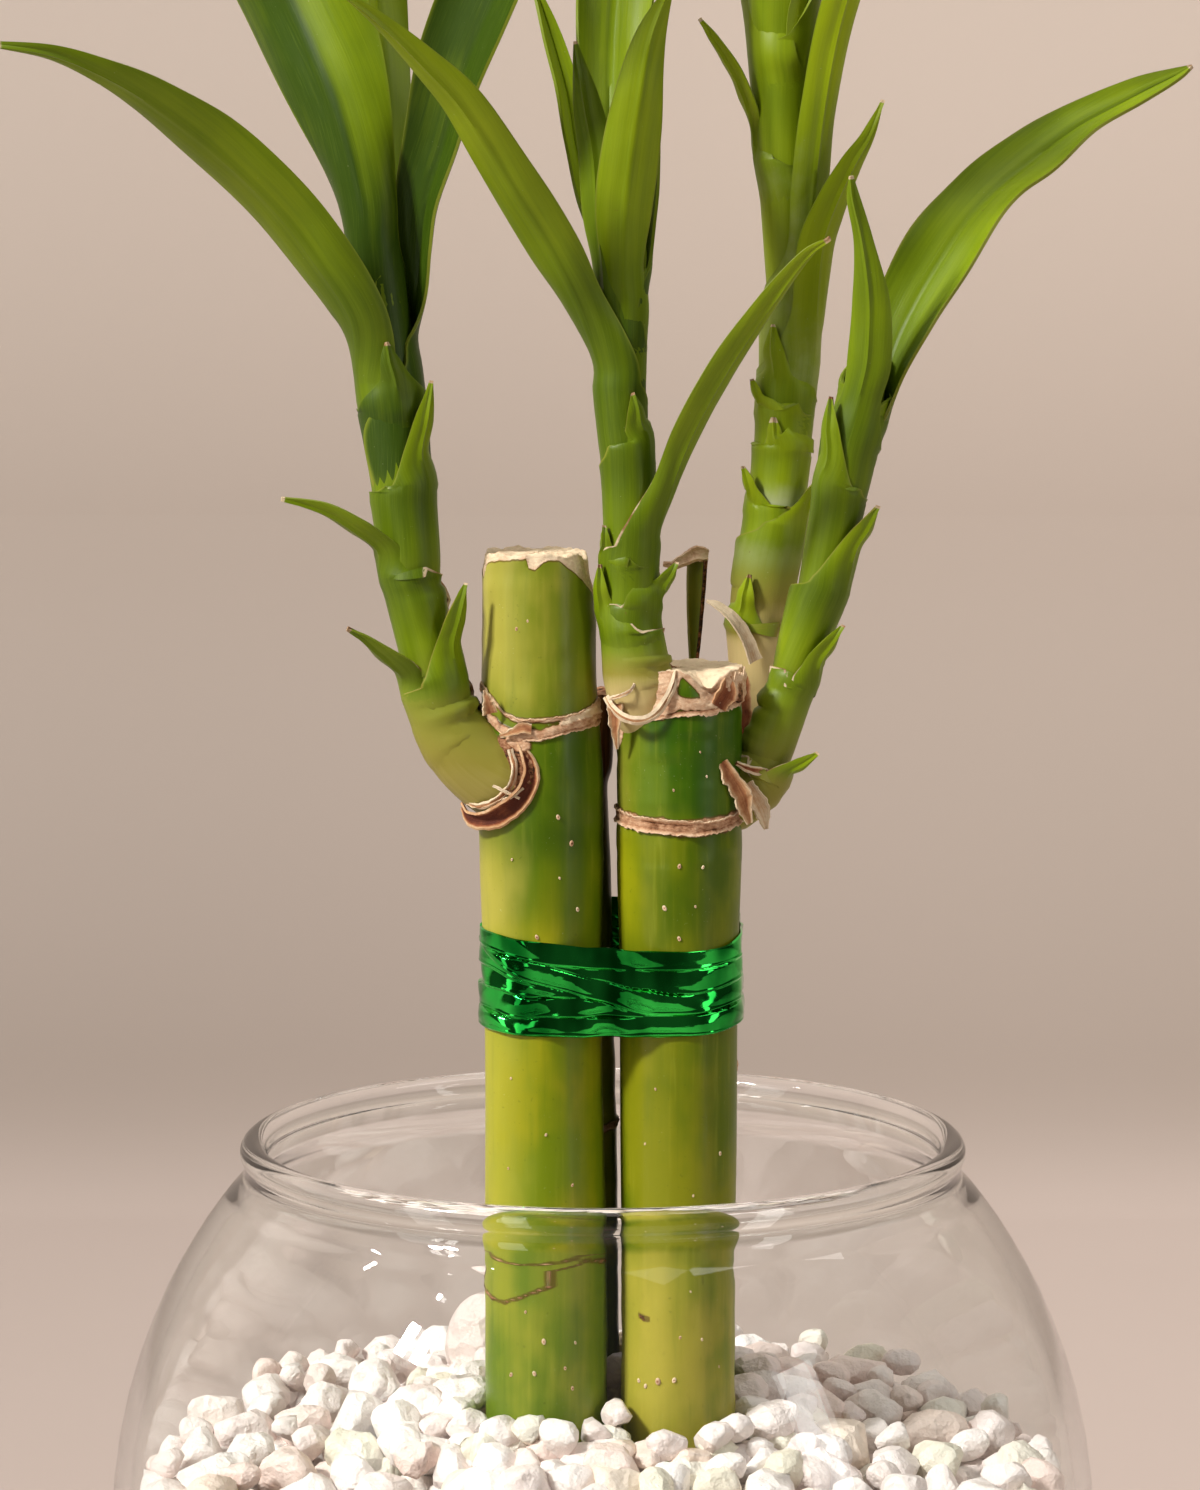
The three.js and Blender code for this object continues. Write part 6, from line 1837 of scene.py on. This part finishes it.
# %% Dry paper
def make_paper():
    paper = Finish("dry_sheath_paper")
    place = paper.place()
    fibre, edge, old = paper.mark("fibre"), paper.mark("edge"), paper.mark("old")
    along = paper.node("CombineXYZ", None, [fibre, edge * 0.12, old])
    stripes = paper.noise(along, 9, 5, 0.7)
    cloud = paper.noise(place, 900, 5, 0.65)
    uneven = (stripes - 0.5) * 0.6 + (cloud - 0.5) * 0.6
    mix = uneven + (edge * 0.75 + 0.42) - old * 0.6
    stops = [(0.0, tone(92, 38, 18)), (0.3, tone(150, 82, 46)), (0.55, tone(196, 138, 92)),
             (0.8, tone(222, 184, 140)), (1.0, tone(238, 216, 182))]
    color = paper.node("ValToRGB", {"stops": stops}, [mix])
    normal = paper.bump(stripes + cloud, 0.6, 0.0005)
    body = paper.node("BsdfPrincipled", None, {
        "Base Color": color, "Roughness": cloud * 0.2 + 0.5, "Normal": normal, "IOR": 1.4})
    glow = paper.node("BsdfTranslucent", None, {"Color": color, "Normal": normal})
    return paper.close(paper.node("MixShader", None, [0.15, body, glow]))


paper = make_paper()
for shoot, pieces in collar_pieces().items():
    collar = smooth(join(pieces), 50)
    dress(collar, "papery_collar_" + shoot, paper, ["collar_" + shoot])

# %% [markdown]
# ## Stage, light and camera
# The bowl stands on a pale table that runs back and turns up into a plain wall, with no edge between
# them. It ends a little in front of the bowl, so that foil and glass have a dim room to mirror, and the
# wall is clear from behind. A bright window at the front left gives the canes a bright left side, and
# the camera stands where the photograph was taken from.

# %% Floor that turns up into a wall, in metres
FLOOR_SIZE = (7, 1.05, 1)
FLOOR_MIDDLE = (0, 0.075, -0.0005)
WALL_HEIGHT = 2.6
TURN_UP = 0.16


def make_stage():
    select_nothing()
    bpy.ops.mesh.primitive_plane_add(size=1)
    stage = bpy.context.object
    bpy.ops.object.mode_set(mode="EDIT")
    bpy.ops.mesh.select_all(action="SELECT")
    bpy.ops.transform.resize(value=FLOOR_SIZE)
    bpy.ops.transform.translate(value=FLOOR_MIDDLE)
    # The far edge is pulled up, and the edge it leaves behind is rounded
    pick_edges(stage, lambda one, other: min(one.y, other.y) > 0)
    bpy.ops.mesh.extrude_region_move(TRANSFORM_OT_translate={"value": (0, 0, WALL_HEIGHT)})
    pick_edges(stage, lambda one, other: min(one.y, other.y) > 0 and max(one.z, other.z) < TURN_UP)
    bpy.ops.mesh.bevel(offset=TURN_UP, segments=16, affect="EDGES")
    bpy.ops.mesh.faces_shade_smooth()
    bpy.ops.object.mode_set(mode="OBJECT")
    return stage


def make_stage_finish():
    backdrop = Finish("pale_backdrop")
    place = backdrop.place()
    mottle = backdrop.noise(place, 6, 3)
    low_wall = backdrop.blend(mottle, tone(149, 134, 124), tone(146, 132, 121))
    high_wall = backdrop.blend(mottle, tone(195, 180, 168), tone(192, 177, 165))
    # The wall darkens downwards, away from the light above
    wall = backdrop.blend(backdrop.part(place, "Z").between(-0.02, 0.3), low_wall, high_wall)
    table = backdrop.blend(mottle, tone(184, 169, 160), tone(180, 164, 155))
    edge = backdrop.part(place, "Y").between(0.44, 0.53)
    color = backdrop.blend(edge, table, wall)
    # Both are a little darker on the left, out of the light that washes the wall
    side = backdrop.part(place, "X").between(-0.19, 0.19) * 0.22 + 0.89
    color = backdrop.blend(1.0, color, side, "MULTIPLY")
    paint = backdrop.node("BsdfPrincipled", None, {"Base Color": color, "Roughness": 0.75})
    # Nothing is painted on the back of the wall, so the plant can be looked at from behind it too
    back = backdrop.node("NewGeometry", out="Backfacing")
    clear = backdrop.node("BsdfTransparent")
    return backdrop.close(backdrop.node("MixShader", None, [back, paint, clear]))


stage = make_stage()
stage.name = "table_and_wall"
stage.data.materials.append(make_stage_finish())
print("stage reaches", [round(value, 2) for value in stage.dimensions])


# %% Lights: place, aim, width, height, watts and colour of each
LAMPS = [
    ("window_left_pane", (-1.384, -0.7728, 1.36), (0, 0, 0.15), 0.1, 0.24, 24, (1.0, 0.98, 0.95)),
    ("window_right_pane", (-1.296, -0.9072, 1.36), (0, 0, 0.15), 0.1, 0.24, 24, (1.0, 0.98, 0.95)),
    # Small bright glints for the glass to mirror
    ("glint", (-1.11, -0.01, 1.15), (0, 0, 0.1), 0.03, 0.09, 0.9, (1.0, 1.0, 1.0)),
    ("glint", (-0.87, -0.11, 1.34), (0, 0, 0.1), 0.03, 0.035, 0.4, (1.0, 1.0, 1.0)),
    ("glint", (-0.88, -0.52, 1.24), (0, 0, 0.1), 0.03, 0.03, 0.35, (1.0, 1.0, 1.0)),
    ("glint", (-0.58, -0.45, 1.44), (0, 0, 0.1), 0.03, 0.035, 0.4, (1.0, 1.0, 1.0)),
    # Soft panels at both sides and above
    ("left_wall", (-1.25, -0.75, 0.35), (0, 0, 0.15), 0.35, 1.1, 2.6, (1.0, 0.99, 0.96)),
    ("sky", (0.1, 0.15, 1.9), (0, 0.2, 0.1), 1.6, 1.6, 10, (0.98, 0.99, 1.0)),
    ("left_curtain", (-0.66, -1.24, 0.4), (0, 0, 0.15), 0.2, 0.9, 1.6, (1.0, 0.99, 0.96)),
    ("right_wall", (1.1, -0.78, 0.45), (0, 0, 0.15), 0.24, 1.0, 3.2, (1.0, 0.98, 0.95)),
    ("wall_wash", (0.9, -0.1, 1.6), (0.35, 0.62, 0.3), 1.2, 0.4, 5.0, (1.0, 0.98, 0.95)),
]
for name, place, aim, width, height, watts, color in LAMPS:
    lamp = bpy.data.lights.new(name, "AREA")
    lamp.shape = "RECTANGLE"
    lamp.size, lamp.size_y = width, height
    lamp.energy = watts
    lamp.color = color
    holder = bpy.data.objects.new(name, lamp)
    bpy.context.collection.objects.link(holder)
    holder.location = place
    holder.rotation_euler = (Vector(aim) - Vector(place)).to_track_quat("-Z", "Y").to_euler()
print("lamps:", len(LAMPS))

# %% A dim even light from all sides
ROOM_COLOR = (0.36, 0.34, 0.31, 1)
ROOM_STRENGTH = 0.23
world = bpy.data.worlds.new("dim_room")
bpy.context.scene.world = world
world.use_nodes = True
background = world.node_tree.nodes["Background"]
background.inputs["Color"].default_value = ROOM_COLOR
background.inputs["Strength"].default_value = ROOM_STRENGTH
print("strength of the room's light:", ROOM_STRENGTH)

# %% Camera: 621 mm in front, 236.5 mm up, looking down a little
CAMERA_PLACE = (-0.0004, -0.621, 0.2365)
CAMERA_DOWN = 6.55
CAMERA_LENS = 108.24
view = bpy.data.cameras.new("photo_camera")
view.sensor_width = 36
view.lens = CAMERA_LENS
camera = bpy.data.objects.new("photo_camera", view)
bpy.context.collection.objects.link(camera)
camera.location = CAMERA_PLACE
camera.rotation_euler = (math.radians(90 - CAMERA_DOWN), 0, 0)
bpy.context.scene.camera = camera
print("camera at", tuple(camera.location))
